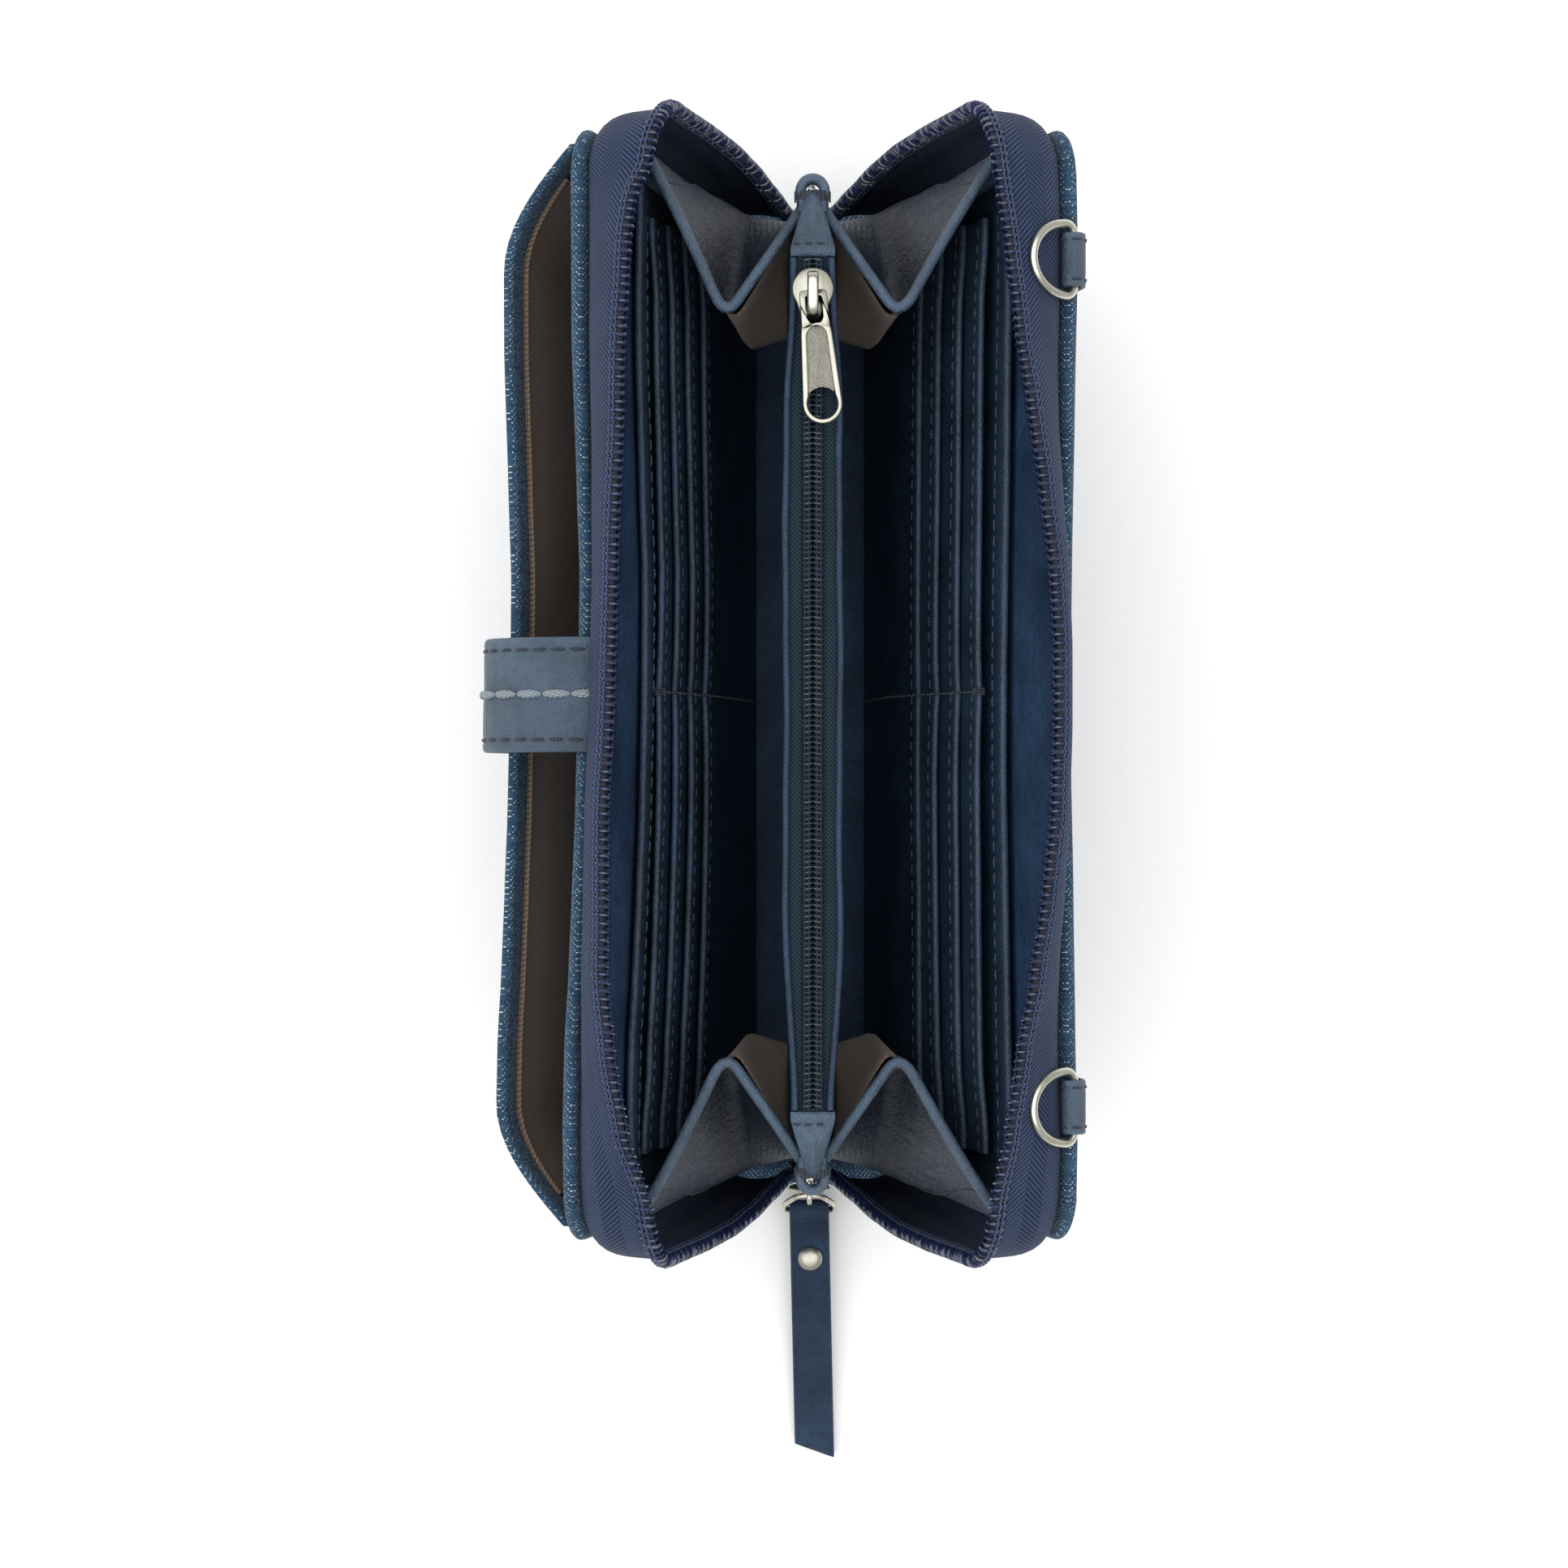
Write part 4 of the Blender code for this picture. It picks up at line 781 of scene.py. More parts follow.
def build_spine():
    """The cover's strip under the spine, one piece to each side."""
    for half in (LEFT, RIGHT):
        side = half.side
        outer = [(0.0, 0.0), (6.0, 0.0), (12.0, 0.0), (15.0, 0.03), (16.8, 0.22), (18.1, 0.75), (18.95, 1.7)]
        outer = [Vector((side * x, 0.0, z)) for x, z in outer]
        outer += [half.at(-0.22, 0.0, w) for w in (1.3, 2.6, 4.0, 5.4, 6.6)]
        line = [(p.x, p.z) for p in outer]
        section = []
        for (x, z), (nx, nz) in zip(line, normals(line, side)):
            section.append((x + nx * 1.1, z + nz * 1.1))
        closed = line + section[::-1]
        loops = []
        inner = spread(-HALF_LENGTH + 0.8, HALF_LENGTH - 0.8, 25)
        for y in [-HALF_LENGTH + 0.05] + inner + [HALF_LENGTH - 0.05]:
            loops.append([Vector((x, y, z)) for x, z in closed])
        shape = Shape().loft(loops)
        hides = ["spine_denim_cover"] if side < 0 else []
        bend = ("wallet_core", half.body, (side * 15.0, 0.0, 0.0), (side * 21.0, 0.0, 7.0))
        place(shape, half.name + "_spine_denim", "denim", "denim", None, hides, bend, bevel=0.4)
        path = [half.at(-0.24, y, 5.4) for y in spread(-97.5, 97.5, 60)]
        seam = Shape().stitches(path, half.way(-1.0, 0.0, 0.0), *RIM_STITCH)
        place(seam, half.name + "_spine_seam", "dark_thread", "denim", half.body)
    loops = []
    for x in [-14.6, -14.2, -7.0, 0.0, 7.0, 14.2, 14.6]:
        z = 3.15 if abs(x) < 14.4 else 2.85
        loops.append([Vector((x, y, z)) for y in spread(-95.0, 95.0, 40)])
    under = [[p - Vector((0.0, 0.0, 0.5)) for p in loop] for loop in loops]
    facing = Shape().loft([a + b[::-1] for a, b in zip(loops, under)])
    place(facing, "spine_facing", "lining_leather", "leather", "wallet_core", ["spine_lining"])


def flare_at(half, y, w):
    """Angle of the tape above straight inward."""
    level = w / (WALL_HEIGHT - TAPE_INSET - TAPE_CORNER)
    if level < 1.0:
        return radians(along(END_FLARES, level))
    return radians(along(FLARES[half.name], y))


def tape_stations():
    """(y, w, outward y, outward w) of the tape's sewn edge, from the front foot round to the rear foot."""
    edge, top, turn = HALF_LENGTH - TAPE_INSET, WALL_HEIGHT - TAPE_INSET, TAPE_CORNER
    rise = spread(ZIP_LOW_END, top - turn, 40)
    stations = [(-edge, w, -1.0, 0.0) for w in rise]
    for y, w in arc((-edge + turn, top - turn), turn, 180, 90, 14)[1:-1]:
        stations.append((y, w, (y + edge - turn) / turn, (w - top + turn) / turn))
    stations += [(y, top, 0.0, 1.0) for y in spread(-edge + turn, edge - turn, 90)]
    half_way = stations[: len(rise) + 13]
    return stations + [(-y, w, -ny, nw) for y, w, ny, nw in half_way[::-1]]


def tape_point(half, station, reach, lift=0.0):
    """A point of the tape, which comes up steeply out of the rim and bends inward to the coil."""
    y, w, ny, nw = station
    flare = flare_at(half, y, w)
    full = COIL_REACH - ZIP_END_TAPER * (1 - smooth(w / ZIP_TAPER_HEIGHT))
    start = Vector((SEWN_IN, SEWN_UP))
    end = Vector((TAPE_BASE_IN + full * cos(flare), full * sin(flare)))
    opened = smooth((flare - radians(32)) / radians(30))
    shoulder = smooth((flare - radians(8)) / radians(14))
    leave = flare + radians(blend(blend(30.0, 46.0, shoulder), 20.0, opened))
    arrive = blend(flare - radians(12), radians(26), opened)
    size = (end - start).length
    first = start + Vector((cos(leave), sin(leave))) * (size * blend(0.42, 0.5, shoulder * (1 - opened)))
    second = end - Vector((cos(arrive), sin(arrive))) * (size * 0.36)
    t = reach / COIL_REACH
    spot = (start * (1 - t) ** 3 + first * (3 * t * (1 - t) ** 2) + second * (3 * t ** 2 * (1 - t))
            + end * t ** 3)
    ahead = (first - start) * (1 - t) ** 2 + (second - first) * (2 * t * (1 - t)) + (end - second) * t ** 2
    ahead.normalize()
    u, rise = spot.x - ahead.y * lift, spot.y + ahead.x * lift
    return half.at(u, y + ny * rise, w + nw * rise)


def build_zip(half):
    """Herringbone tape, the coil's loops, the cord inside them and the threads that bind them."""
    stations = tape_stations()
    track = Track([tape_point(half, s, COIL_REACH) for s in stations])
    reaches = [0.4, 1.2, 2.2, 3.4, 4.8, 6.4, 8.0, 9.6, 11.2, 12.5, 13.3]
    marks, loops = [], []
    for i, station in enumerate(stations):
        y, w, ny, nw = station
        top = [half.at(2.5, y - ny * 2.4, w - nw * 2.4)]
        top += [tape_point(half, station, r, 0.28) for r in reaches]
        under = [tape_point(half, station, r, -0.28) for r in reaches[::-1]]
        loops.append(top + under + [half.at(3.0, y - ny * 2.4, w - nw * 2.4)])
        across = [-2.4] + reaches + reaches[::-1] + [-2.4]
        marks.append([(track.marks[i], t) for t in across])
    shape = Shape().loft(loops, weave=lambda i, k: marks[i][k])
    bend = ("wallet_core", half.body, (0.0, 0.0, 9.0), (0.0, 0.0, 40.0))
    place(shape, half.name + "_tape", "tape", "zip_tape", None, [half.name + "_zip_tape"], bend)

    inward = [(tape_point(half, s, 14.0) - tape_point(half, s, 12.0)).normalized() for s in stations]
    outward = [(tape_point(half, s, 12.0, 1.0) - tape_point(half, s, 12.0)).normalized() for s in stations]
    turns = int((track.length - 2.0) / COIL_PITCH)
    path = []
    for k in range(turns * COIL_STEPS + 1):
        angle = 2 * pi * k / COIL_STEPS
        part = k % COIL_STEPS / COIL_STEPS
        part = part * 0.3 if part < 0.5 else 0.15 + (part - 0.5) * 1.7
        distance = 1.0 + (k // COIL_STEPS + part) * COIL_PITCH
        a, b = track.at(distance, inward), track.at(distance, outward)
        c, s = cos(angle), sin(angle)
        rise = COIL_TALL * (abs(s) ** 0.7) * (1 if s > 0 else -1)
        path.append(track.at(distance) + a * (COIL_WIDE * c) + b * rise)
    shape = Shape().tube(path, COIL_WIRE, 6)
    place(shape, half.name + "_coil", "coil", "zip_coil", None, [half.name + "_zip_coil"], bend)

    core = Shape().tube([track.at(d) for d in spread(0.5, track.length - 0.5, 320)], 0.78, 8, flat=0.9)
    place(core, half.name + "_coil_core", "coil_core", "zip_coil", None, (), bend)

    threads = Shape()
    for across, rise in ((-0.62, 1.12), (0.28, 1.16), (-0.62, -1.12), (0.28, -1.16)):
        line = []
        for k in range(turns * 4 + 1):
            distance = 1.0 + k * COIL_PITCH / 4
            wave = 0.14 * cos(2 * pi * k / 4)
            a, b = track.at(distance, inward), track.at(distance, outward)
            level = rise * (1 + wave) + 0.05 * (1 if rise > 0 else -1)
            line.append(track.at(distance) + a * across + b * level)
        threads.tube(line, 0.19, 5)
    place(threads, half.name + "_coil_threads", "coil_thread", "zip_coil", None, (), bend)


def build_tape_facing(half):
    """Leather that lines the tape along the rim, from near the coil down behind the card panel."""
    stations = [s for s in tape_stations() if abs(s[0]) < 90.0 and s[3] > 0.99]
    stations = stations[::3] + [stations[-1]]
    behind = 7.3 if half is LEFT else 6.6
    loops, edge = [], []
    for station in stations:
        y = station[0]
        ease = smooth((90.0 - abs(y)) / 14.0)
        top, under = [], []
        for reach in (11.9, 10.4, 8.6):
            top.append(tape_point(half, station, reach, -1.05))
            under.append(tape_point(half, station, reach, -0.45))
        for u, level in ((blend(5.4, behind, 0.75 * ease), 101.5), (blend(5.0, behind, ease), 93.0),
                         (blend(4.6, behind - 0.7, ease), 82.0), (4.6, 66.0), (4.3, 50.0)):
            top.append(half.at(u, y, level))
            under.append(half.at(u - 0.6, y, level))
        loops.append(top + under[::-1])
        edge.append(tape_point(half, station, 11.0, -1.12))
    place(Shape().loft(loops), half.name + "_tape_facing", "lining_leather", "leather", half.body, bevel=0.2)
    seam = Shape().stitches(edge, half.way(1.0, 0.0, 0.3).normalized(), 3.0, 0.9, 0.15)
    place(seam, half.name + "_tape_facing_seam", "seam_thread", "leather", half.body)


def bow(y, length):
    """How far a pocket's lip stands off: none at the centre stitch and at the ends."""
    from_stitch = 1 - exp(-abs(y - CENTRE_STITCH_Y) / 6.0)
    from_end = smooth((length - abs(y)) / 16.0)
    return from_stitch * from_end


def lip_stations(length):
    near = [CENTRE_STITCH_Y + d for d in (-9, -6, -4, -2.5, -1.4, -0.6, 0, 0.6, 1.4, 2.5, 4, 6, 9)]
    return sorted(near + spread(-length, -length + 14, 5) + spread(length - 14, length, 5)
                  + spread(-length + 20, -16, 8) + spread(14, length - 20, 8))


def build_cards(half):
    divider, tops, lean, foot = CARDS[half.name]
    length = box_mm(half.name + "_divider")[1][1]
    shape = Shape()
    loops = []
    for y in lip_stations(length):
        out = 0.5 * smooth((length - abs(y)) / 20.0) * (0.8 + 0.2 * sin(y / 17.0))
        line = []
        for w in (92.6, 91.4, 89.8, 88.6, 84.0, 74.0, 60.0, 45.0, 25.0, 1.8):
            line.append((line_depth(divider, w) - out * smooth((w - 60) / 32.0), w))
        section = ribbon(line, [1.5, 1.55, 1.5, 1.05] + [1.0] * 6)
        loops.append([half.at(u, y, w) for u, w in section])
    shape.loft(loops)
    name = half.name + "_divider"
    place(shape, name + "_panel", "card_leather", "leather", half.body, [name], bevel=0.25)

    seam = Shape()
    path = [half.at(line_depth(divider, 89.0) + 0.45, y, 89.0) for y in spread(-length + 2, length - 2, 80)]
    seam.stitches(path, half.way(1.0, 0.0, 0.0), *CARD_STITCH)
    length = box_mm(half.name + "_card_slot_1")[1][1]
    bar = Shape()
    for i, (u0, top) in enumerate(zip(tops, CARD_TOPS)):
        shape = Shape()
        last = i == len(tops) - 1
        # The right half folds closer to the purse, so its nearest slot lies flatter.
        lip, back = (0.45, 0.55) if last and half is RIGHT else (0.85, 0.25)
        if last:
            base_line = [(u0, top)] + foot
        else:
            base_line = [(u0, top), (u0 - CARD_HANG * lean, top - CARD_HANG)]
        depths = [0.0, 1.1, 2.4, 3.4, 6.0, 11.0, 16.0, CARD_HANG]
        if last:
            depths += [top - w for w in (30.0, 20.0, 10.0, 1.8)]
        loops, face, sway = [], [], RANDOM.uniform(0, 6)
        for y in lip_stations(length):
            off = lip * bow(y, length)
            off *= 0.82 + 0.18 * sin(y / 23.0 + sway)
            dip = 0.35 * (1 - bow(y, length)) * (1 if abs(y) < 20 else 0)
            line = []
            for depth in depths:
                w = top - depth
                u = line_depth(base_line, w) + off * exp(-depth / 9.0) - back
                line.append((u, w - dip * exp(-depth / 4)))
            section = ribbon(line, [1.25, 1.3, 1.2, 0.85] + [0.8] * (len(depths) - 4))
            loops.append([half.at(u, y, w) for u, w in section])
            u, w = line[2]
            face.append(half.at(u + 0.56, y, w - 0.1))
        shape.loft(loops)
        name = "%s_card_slot_%d" % (half.name, i + 1)
        place(shape, name + "_leaf", "card_leather", "leather", half.body, [name], bevel=0.2)
        seam.stitches(face, half.way(1.0, 0.0, 0.0), *CARD_STITCH)
        for k in range(3 if i == 0 else 1):
            y = CENTRE_STITCH_Y + (k - 1) * 0.45 * (i == 0)
            u = line_depth(base_line, top) - back
            hoop = [half.at(u + a, y, top + b) for a, b in ((-0.7, -1.4), (-0.75, 0.0), (-0.3, 0.62),
                                                            (0.3, 0.62), (0.78, 0.0), (0.85, -1.6))]
            bar.tube(Track(hoop).even(0.35), 0.2, 6)
        drop = []
        for w in spread(top - 2.2, (top - 9.5) if not last else 4.0, 40):
            drop.append(half.at(line_depth(base_line, w) + 0.2 + 0.1, CENTRE_STITCH_Y, w))
        bar.stitches(drop, half.way(1.0, 0.0, 0.0), 3.2, 0.8, 0.2)
    place(seam, half.name + "_card_seams", "card_thread", "leather", half.body)
    place(bar, half.name + "_card_bartack", "dark_thread", "leather", half.body)


def line_depth(line, w):
    """Depth at height w of a line of (depth, height) points, extended past its ends."""
    points = sorted(line, key=lambda p: p[1])
    for low, high in zip(points, points[1:]):
        if w <= high[1] or high is points[-1]:
            return blend(low[0], high[0], (w - low[1]) / (high[1] - low[1]))
    return points[-1][0]


# ---------------------------------------------------------------- coin purse

PURSE_WIDTHS = [(45.0, 5.3), (75.4, 3.8), (84.0, 1.4)]


def purse_half_width(y, z):
    y = abs(y)
    (flat, mid), (zip_end, end), (tip, tip_width) = PURSE_WIDTHS
    if y < zip_end:
        width = blend(mid, end, smooth((y - flat) / (zip_end - flat)))
    else:
        width = blend(end, tip_width, smooth((y - zip_end) / (tip - zip_end)))
    waist, foot = min(width, 2.9), min(width, 2.3)
    if z > PURSE_WAIST_Z:
        return blend(waist, width, smooth((z - PURSE_WAIST_Z) / (PURSE_TOP - PURSE_WAIST_Z)))
    return blend(foot, waist, (z - PURSE_FOOT) / (PURSE_WAIST_Z - PURSE_FOOT))


def build_purse():
    ends = [75.4, 76.2, 77.5, 79.5, 82.0, 84.0]
    lengths = [-y for y in ends[::-1]] + spread(-75.0, 75.0, 61) + ends
    for name, side in (("left", -1), ("right", 1)):
        loops, edge = [], []
        for y in lengths:
            top = PURSE_TOP - 0.1 if abs(y) <= PURSE_ZIP_END else 97.4
            wave = 0.12 * sin(y / 9.0 + side) + 0.06 * sin(y / 3.7)
            zs = [top - drop for drop in (0.1, 1.0, 2.2, 3.4, 8)] + [85.0, 70.0, 55.0, 38.0, 20.0, PURSE_FOOT]
            thick = [1.15, 1.3, 1.2, 1.0] + [1.0] * 7
            line = []
            for z in zs:
                x = purse_half_width(y, z) - 0.55 + wave * smooth((z - 70) / 30)
                line.append((side * x, z - 0.4))
            loops.append([Vector((x, y, z)) for x, z in ribbon(line, thick)])
            x, z = line[3]
            edge.append(Vector((x + side * 0.52, y, z)))
        shape = Shape().loft(loops)
        place(shape, "purse_leather_" + name, "leather", "leather", "wallet_core", ["purse_wall_" + name])
        build_purse_zip(name, side)
    for name, side in (("front", -1), ("rear", 1)):
        build_purse_web(name, side)
        build_purse_cap(name, side)
        build_loop(name, side)


def build_purse_web(name, side):
    """The purse's pinched end, which runs out to the seam that both gussets share."""
    loops = []
    for t in spread(0.0, 1.0, 13):
        z = blend(5.0, 95.6, t)
        far = blend(92.0, 85.4, t ** 0.9)
        thick = 0.8 + 0.08 * sin(9.0 * t)
        near_half, far_half = purse_half_width(84.0, z) - 0.1, 1.35
        section = [(near_half, 83.4), (near_half * 0.9, 84.4), (far_half, blend(84.4, far, 0.6)),
                   (far_half, far - 0.3), (far_half - thick / 2, far)]
        section += [(-x, y) for x, y in section[::-1]]
        loops.append([Vector((x, side * y, z)) for x, y in section])
    place(Shape().loft(loops), "purse_web_" + name, "leather", "leather", "wallet_core")


def build_purse_zip(name, side):
    end = PURSE_ZIP_END + 1.2
    ys = spread(-end, end, 120)
    loops, marks = [], []
    for y in ys:
        wall = purse_half_width(y, PURSE_TOP) - 1.05
        xs = spread(0.2, max(2.3, wall), 7)
        rise = [103.0, 103.0, 102.95, 102.88, 102.8, 102.72, 102.6]
        top = [Vector((side * x, y, z)) for x, z in zip(xs, rise)]
        under = [p - Vector((0.0, 0.0, 0.5)) for p in top[::-1]]
        loops.append(top + under)
        marks.append([(y, x) for x in xs] + [(y, x) for x in xs[::-1]])
    shape = Shape().loft(loops, weave=lambda i, k: marks[i][k])
    place(shape, "purse_tape_" + name, "coin_tape", "zip_tape", "wallet_core", ["purse_zip_tape_" + name])
    middle = Vector((side * 0.9, -PURSE_ZIP_END, 103.3))
    turns = int(2 * PURSE_ZIP_END / COIN_COIL_PITCH)
    path = []
    for k in range(turns * COIN_COIL_STEPS):
        angle = 2 * pi * k / COIN_COIL_STEPS * side + (pi if side > 0 else 0.0)
        run = k / COIN_COIL_STEPS * COIN_COIL_PITCH
        path.append(middle + Vector((1.02 * cos(angle), run, 0.72 * sin(angle))))
    shape = Shape().tube(path, COIN_COIL_WIRE, 5)
    place(shape, "purse_coil_" + name, "coin_coil", "zip_coil", "wallet_core", ["purse_zip_coil_" + name])
    threads = Shape()
    for across in (0.75, 1.45):
        line = []
        for k in range(turns * 4):
            lift = 0.86 + 0.14 * cos(2 * pi * (k / 4 + 0.25))
            y = -PURSE_ZIP_END + k * COIN_COIL_PITCH / 4
            line.append(Vector((side * across, y, 103.24 + lift)))
        threads.tube(line, 0.12, 5)
    place(threads, "purse_coil_threads_" + name, "dark_thread", "zip_coil", "wallet_core")


def build_purse_cap(name, side):
    """Leather folded over the end of the purse's zip, pinched into a tail."""
    stations = [(75.7, 3.75, 103.0), (75.75, 3.9, 103.9), (76.3, 3.95, 104.25), (77.3, 3.9, 104.2),
                (77.9, 3.75, 103.95), (78.6, 3.6, 104.1), (80.2, 3.15, 104.1), (82.2, 2.5, 103.7),
                (84.2, 1.95, 102.9), (85.8, 1.6, 101.9), (87.4, 1.3, 100.6)]
    loops = []
    for y, half, top in stations:
        loop = []
        for k in range(13):
            f = blend(-1.0, 1.0, k / 12)
            ridge = 0.35 * exp(-((f * half) / 0.7) ** 2) * smooth((y - 79) / 3)
            z = top - 0.9 * abs(f) ** 3.2 + ridge
            loop.append(Vector((half * f, side * y, z)))
        for share, z in ((1.0, top - 3.0), (0.8, 97.2), (-0.8, 97.2), (-1.0, top - 3.0)):
            loop.append(Vector((half * share, side * y, z)))
        loops.append(loop)
    shape = Shape().loft(loops)
    place(shape, "purse_cap_" + name, "strap_leather", "leather", "wallet_core", ["purse_zip_cap_" + name])
    seam = Shape()
    path = [Vector((x, side * 77.9, 103.98 - 0.9 * abs(x / 3.75) ** 3.2)) for x in spread(-3.6, 3.6, 15)]
    seam.stitches(path, Vector((0.0, 0.0, 1.0)), 2.1, 0.5, 0.2, 0.1)
    place(seam, "purse_cap_seam_" + name, "dark_thread", "leather", "wallet_core")


def build_loop(name, side):
    """The folded strap that both gussets' bindings run into, with its bar of stitches."""
    tip = box_mm("gusset_loop_" + name)
    far = max(abs(tip[0][1]), abs(tip[1][1])) - 0.2
    r = 2.15
    centre = far - 0.9 - r
    path = [Vector((-1.75, side * (TIP_Y - 1.8), 98.3)), Vector((-1.75, side * (TIP_Y - 0.4), 98.5)),
            Vector((-2.0, side * blend(TIP_Y, centre, 0.5), 98.7))]
    for x, y in arc((0.0, centre), r, 180, 0, 14):
        path.append(Vector((x, side * y, 98.8)))
    path += [Vector((-p.x, p.y, p.z)) for p in path[2::-1]]
    loops = []
    for point, across, up in frames(path, Vector((0.0, 0.0, 1.0))):
        loops.append([point + across * a + up * b for a, b in oval(14, 0.95, 2.1, 0.75, 0.75)])
    shape = Shape().loft(loops)
    place(shape, "loop_strap_" + name, "strap_leather", "leather", "wallet_core", ["gusset_loop_" + name])
    bar = Shape()
    for k in range(5):
        y = side * (TIP_Y + 0.1 + 0.33 * k)
        line = [Vector((x, y + 0.12 * sin(5 * x + k), z)) for x, z in
                ((-3.1, 97.0), (-3.05, 99.6), (-2.3, 100.75), (-0.8, 100.9), (0.8, 100.9), (2.3, 100.75),
                 (3.05, 99.6), (3.1, 97.0))]
        bar.tube(Track(line).even(0.5), 0.2, 6)
    place(bar, "loop_bartack_" + name, "dark_thread", "leather", "wallet_core")
    fluff = Shape()
    for _ in range(26):
        x, y = RANDOM.uniform(-0.7, 0.7), RANDOM.uniform(TIP_Y + 2.0, centre + 1.2)
        start = Vector((x, side * y, RANDOM.uniform(97.2, 99.2)))
        turn = Vector((RANDOM.uniform(-0.8, 0.8), RANDOM.uniform(-0.8, 0.8), RANDOM.uniform(0.3, 1.2)))
        bend = Vector((RANDOM.uniform(-0.5, 0.5), RANDOM.uniform(-0.5, 0.5), 0.3))
        fluff.tube([start, start + turn * 0.5 + bend * 0.3, start + turn + bend * 0.2], 0.06, 4)
    place(fluff, "loop_fibres_" + name, "coil_thread", "leather", "wallet_core")


# ---------------------------------------------------------------- gussets


def gusset_lines(half, end):
    """Wall, fold and purse lines of a gusset as functions of height from 0 to 1."""

    def wall(t):
        return half.at(blend(6.5, 11.0, t), end * blend(94.8, 95.2, t), blend(4.5, 95.0, t))

    def fold(t):
        drop = blend(0.22 * t, 1.0, smooth((t - 0.55) / 0.43))
        x, y = blend(9.5, 15.7, t), blend(94.0, 65.6, drop)
        return Vector((half.side * x, end * y, blend(5.0, 97.0, t)))

    def purse(t):
        x, y = blend(2.4, 1.9, t), blend(92.0, 85.4, t ** 0.9)
        return Vector((half.side * x, end * y, blend(5.0, 95.5, t)))

    return wall, fold, purse


def gusset_curve(a, b, c, round_off=0.16, steps=9):
    """From the wall to the fold and back to the purse, with the fold rounded."""
    into, away = b.lerp(a, round_off), b.lerp(c, round_off)
    points = [a.lerp(into, k / steps) for k in range(steps)]
    for k in range(7):
        t = k / 6
        points.append(into * (1 - t) ** 2 + b * (2 * t * (1 - t)) + away * t ** 2)
    points += [away.lerp(c, (k + 1) / steps) for k in range(steps)]
    return points


def build_gusset(half, end_name, end):
    wall, fold, purse = gusset_lines(half, end)
    out = Vector((0.0, end, 0.0))
    levels = [0.0, 0.08, 0.17, 0.27, 0.38, 0.5, 0.62, 0.73, 0.83, 0.91, 0.96, 1.0]
    skin, lining = [], []
    for t in levels:
        curve = gusset_curve(wall(t), fold(t), purse(t))
        count = len(curve)
        row = []
        for k, point in enumerate(curve):
            f = k / (count - 1)
            belly = 0.9 * sin(pi * min(1.0, f / 0.46)) if f < 0.46 else -0.3 * sin(pi * (f - 0.46) / 0.54)
            ruck = 0.16 * sin(9.0 * f + 14.0 * t) * sin(pi * f)
            row.append(point + out * (belly * t + ruck))
        skin.append(row)
        hang = 1 - smooth(t / 0.55)
        inner = Vector((half.side * blend(9.5, 14.6, t), end * blend(64.6, 92.5, hang), blend(5.0, 97.0, t)))
        toward = smooth((t - 0.6) / 0.38)
        tail = Vector((half.side * blend(4.5, 2.4, smooth((t - 0.84) / 0.14)),
                       end * blend(blend(67.0, 84.0, toward), 90.5, hang), blend(5.0, 97.0, t)))
        slack = 2.6 * smooth(t / 0.3) * (1 - smooth((t - 0.6) / 0.3))
        row = gusset_curve(wall(t) - out * 1.6, inner, tail)
        for k in range(1, 10):
            row[k] += out * (slack * sin(pi * k / 12))
        lining.append(row)

    def shell(rows, thickness, marked=False):
        loops = []
        for row in rows:
            front = [p + out * (thickness / 2) for p in row]
            back = [p - out * (thickness / 2) for p in row]
            loops.append(front + back[::-1])
        share = spread(0.0, 1.0, len(rows[0]))
        share += share[::-1]
        return Shape().loft(loops, weave=(lambda i, k: (levels[i], share[k])) if marked else None)

    label = "gusset_%s_%s" % (half.name, end_name)
    side = half.side
    bend = ("wallet_core", half.body, (side * 3.0, 0.0, 50.0), (side * 30.0, 0.0, 50.0))
    place(shell(skin, 1.1, True), label + "_leather", "gusset_leather", "leather", None, [label], bend)
    place(shell(lining[:-1], 0.5), label + "_twill", "twill", "twill", None, [label + "_lining"], bend)

    top = skin[-1]
    join = Vector((side * 1.9, end * TIP_Y, 97.6))
    edge = [top[0] + (top[0] - top[1]) * 0.15] + top + [join]
    binding = Shape().tube(Track(edge).even(1.2), 0.98, 12, hint=Vector((0.0, 0.0, 1.0)), flat=1.15)
    place(binding, label + "_binding", "strap_leather", "leather", None, (), bend)

    seam = Shape()
    path, outs = [], []
    for row in skin[3:]:
        path.append(row[2] + out * 0.62)
        outs.append((out + Vector((-side * 0.55, 0.0, 0.15))).normalized())
    seam.stitches(path[::-1], outs[::-1], *LEATHER_STITCH)
    run = [p + Vector((0.0, 0.0, -1.9)) - out * 0.72 for p in top[3:-1]]
    seam.stitches(run, -out, 2.9, 0.7, 0.18)
    place(seam, label + "_seam", "dark_thread", "leather", None, (), bend)


# ---------------------------------------------------------------- phone pocket and strap

POCKET_HALF_LENGTH = 96.8
POCKET_RUN = 22.0


def pocket_bulge(y):
    """How far the pocket stands open at y: 0 at its sewn ends, 1 along its middle."""
    return sin(pi / 2 * min(1.0, (POCKET_HALF_LENGTH + 0.8 - abs(y)) / POCKET_RUN))


def pocket_point(y, w, shrink=0.0):
    """Outward distance of the pocket's middle surface at height w."""
    if w < 2.4:
        out = blend(0.85, 9.6, max(0.0, (w - 1.6) / 0.8))
    else:
        out = blend(9.6, 17.0, (w - 2.4) / (88.8 - 2.4))
    return blend(0.85, out, pocket_bulge(y)) - shrink


def pocket_rim(y):
    return 98.0 - 9.2 * pocket_bulge(y)


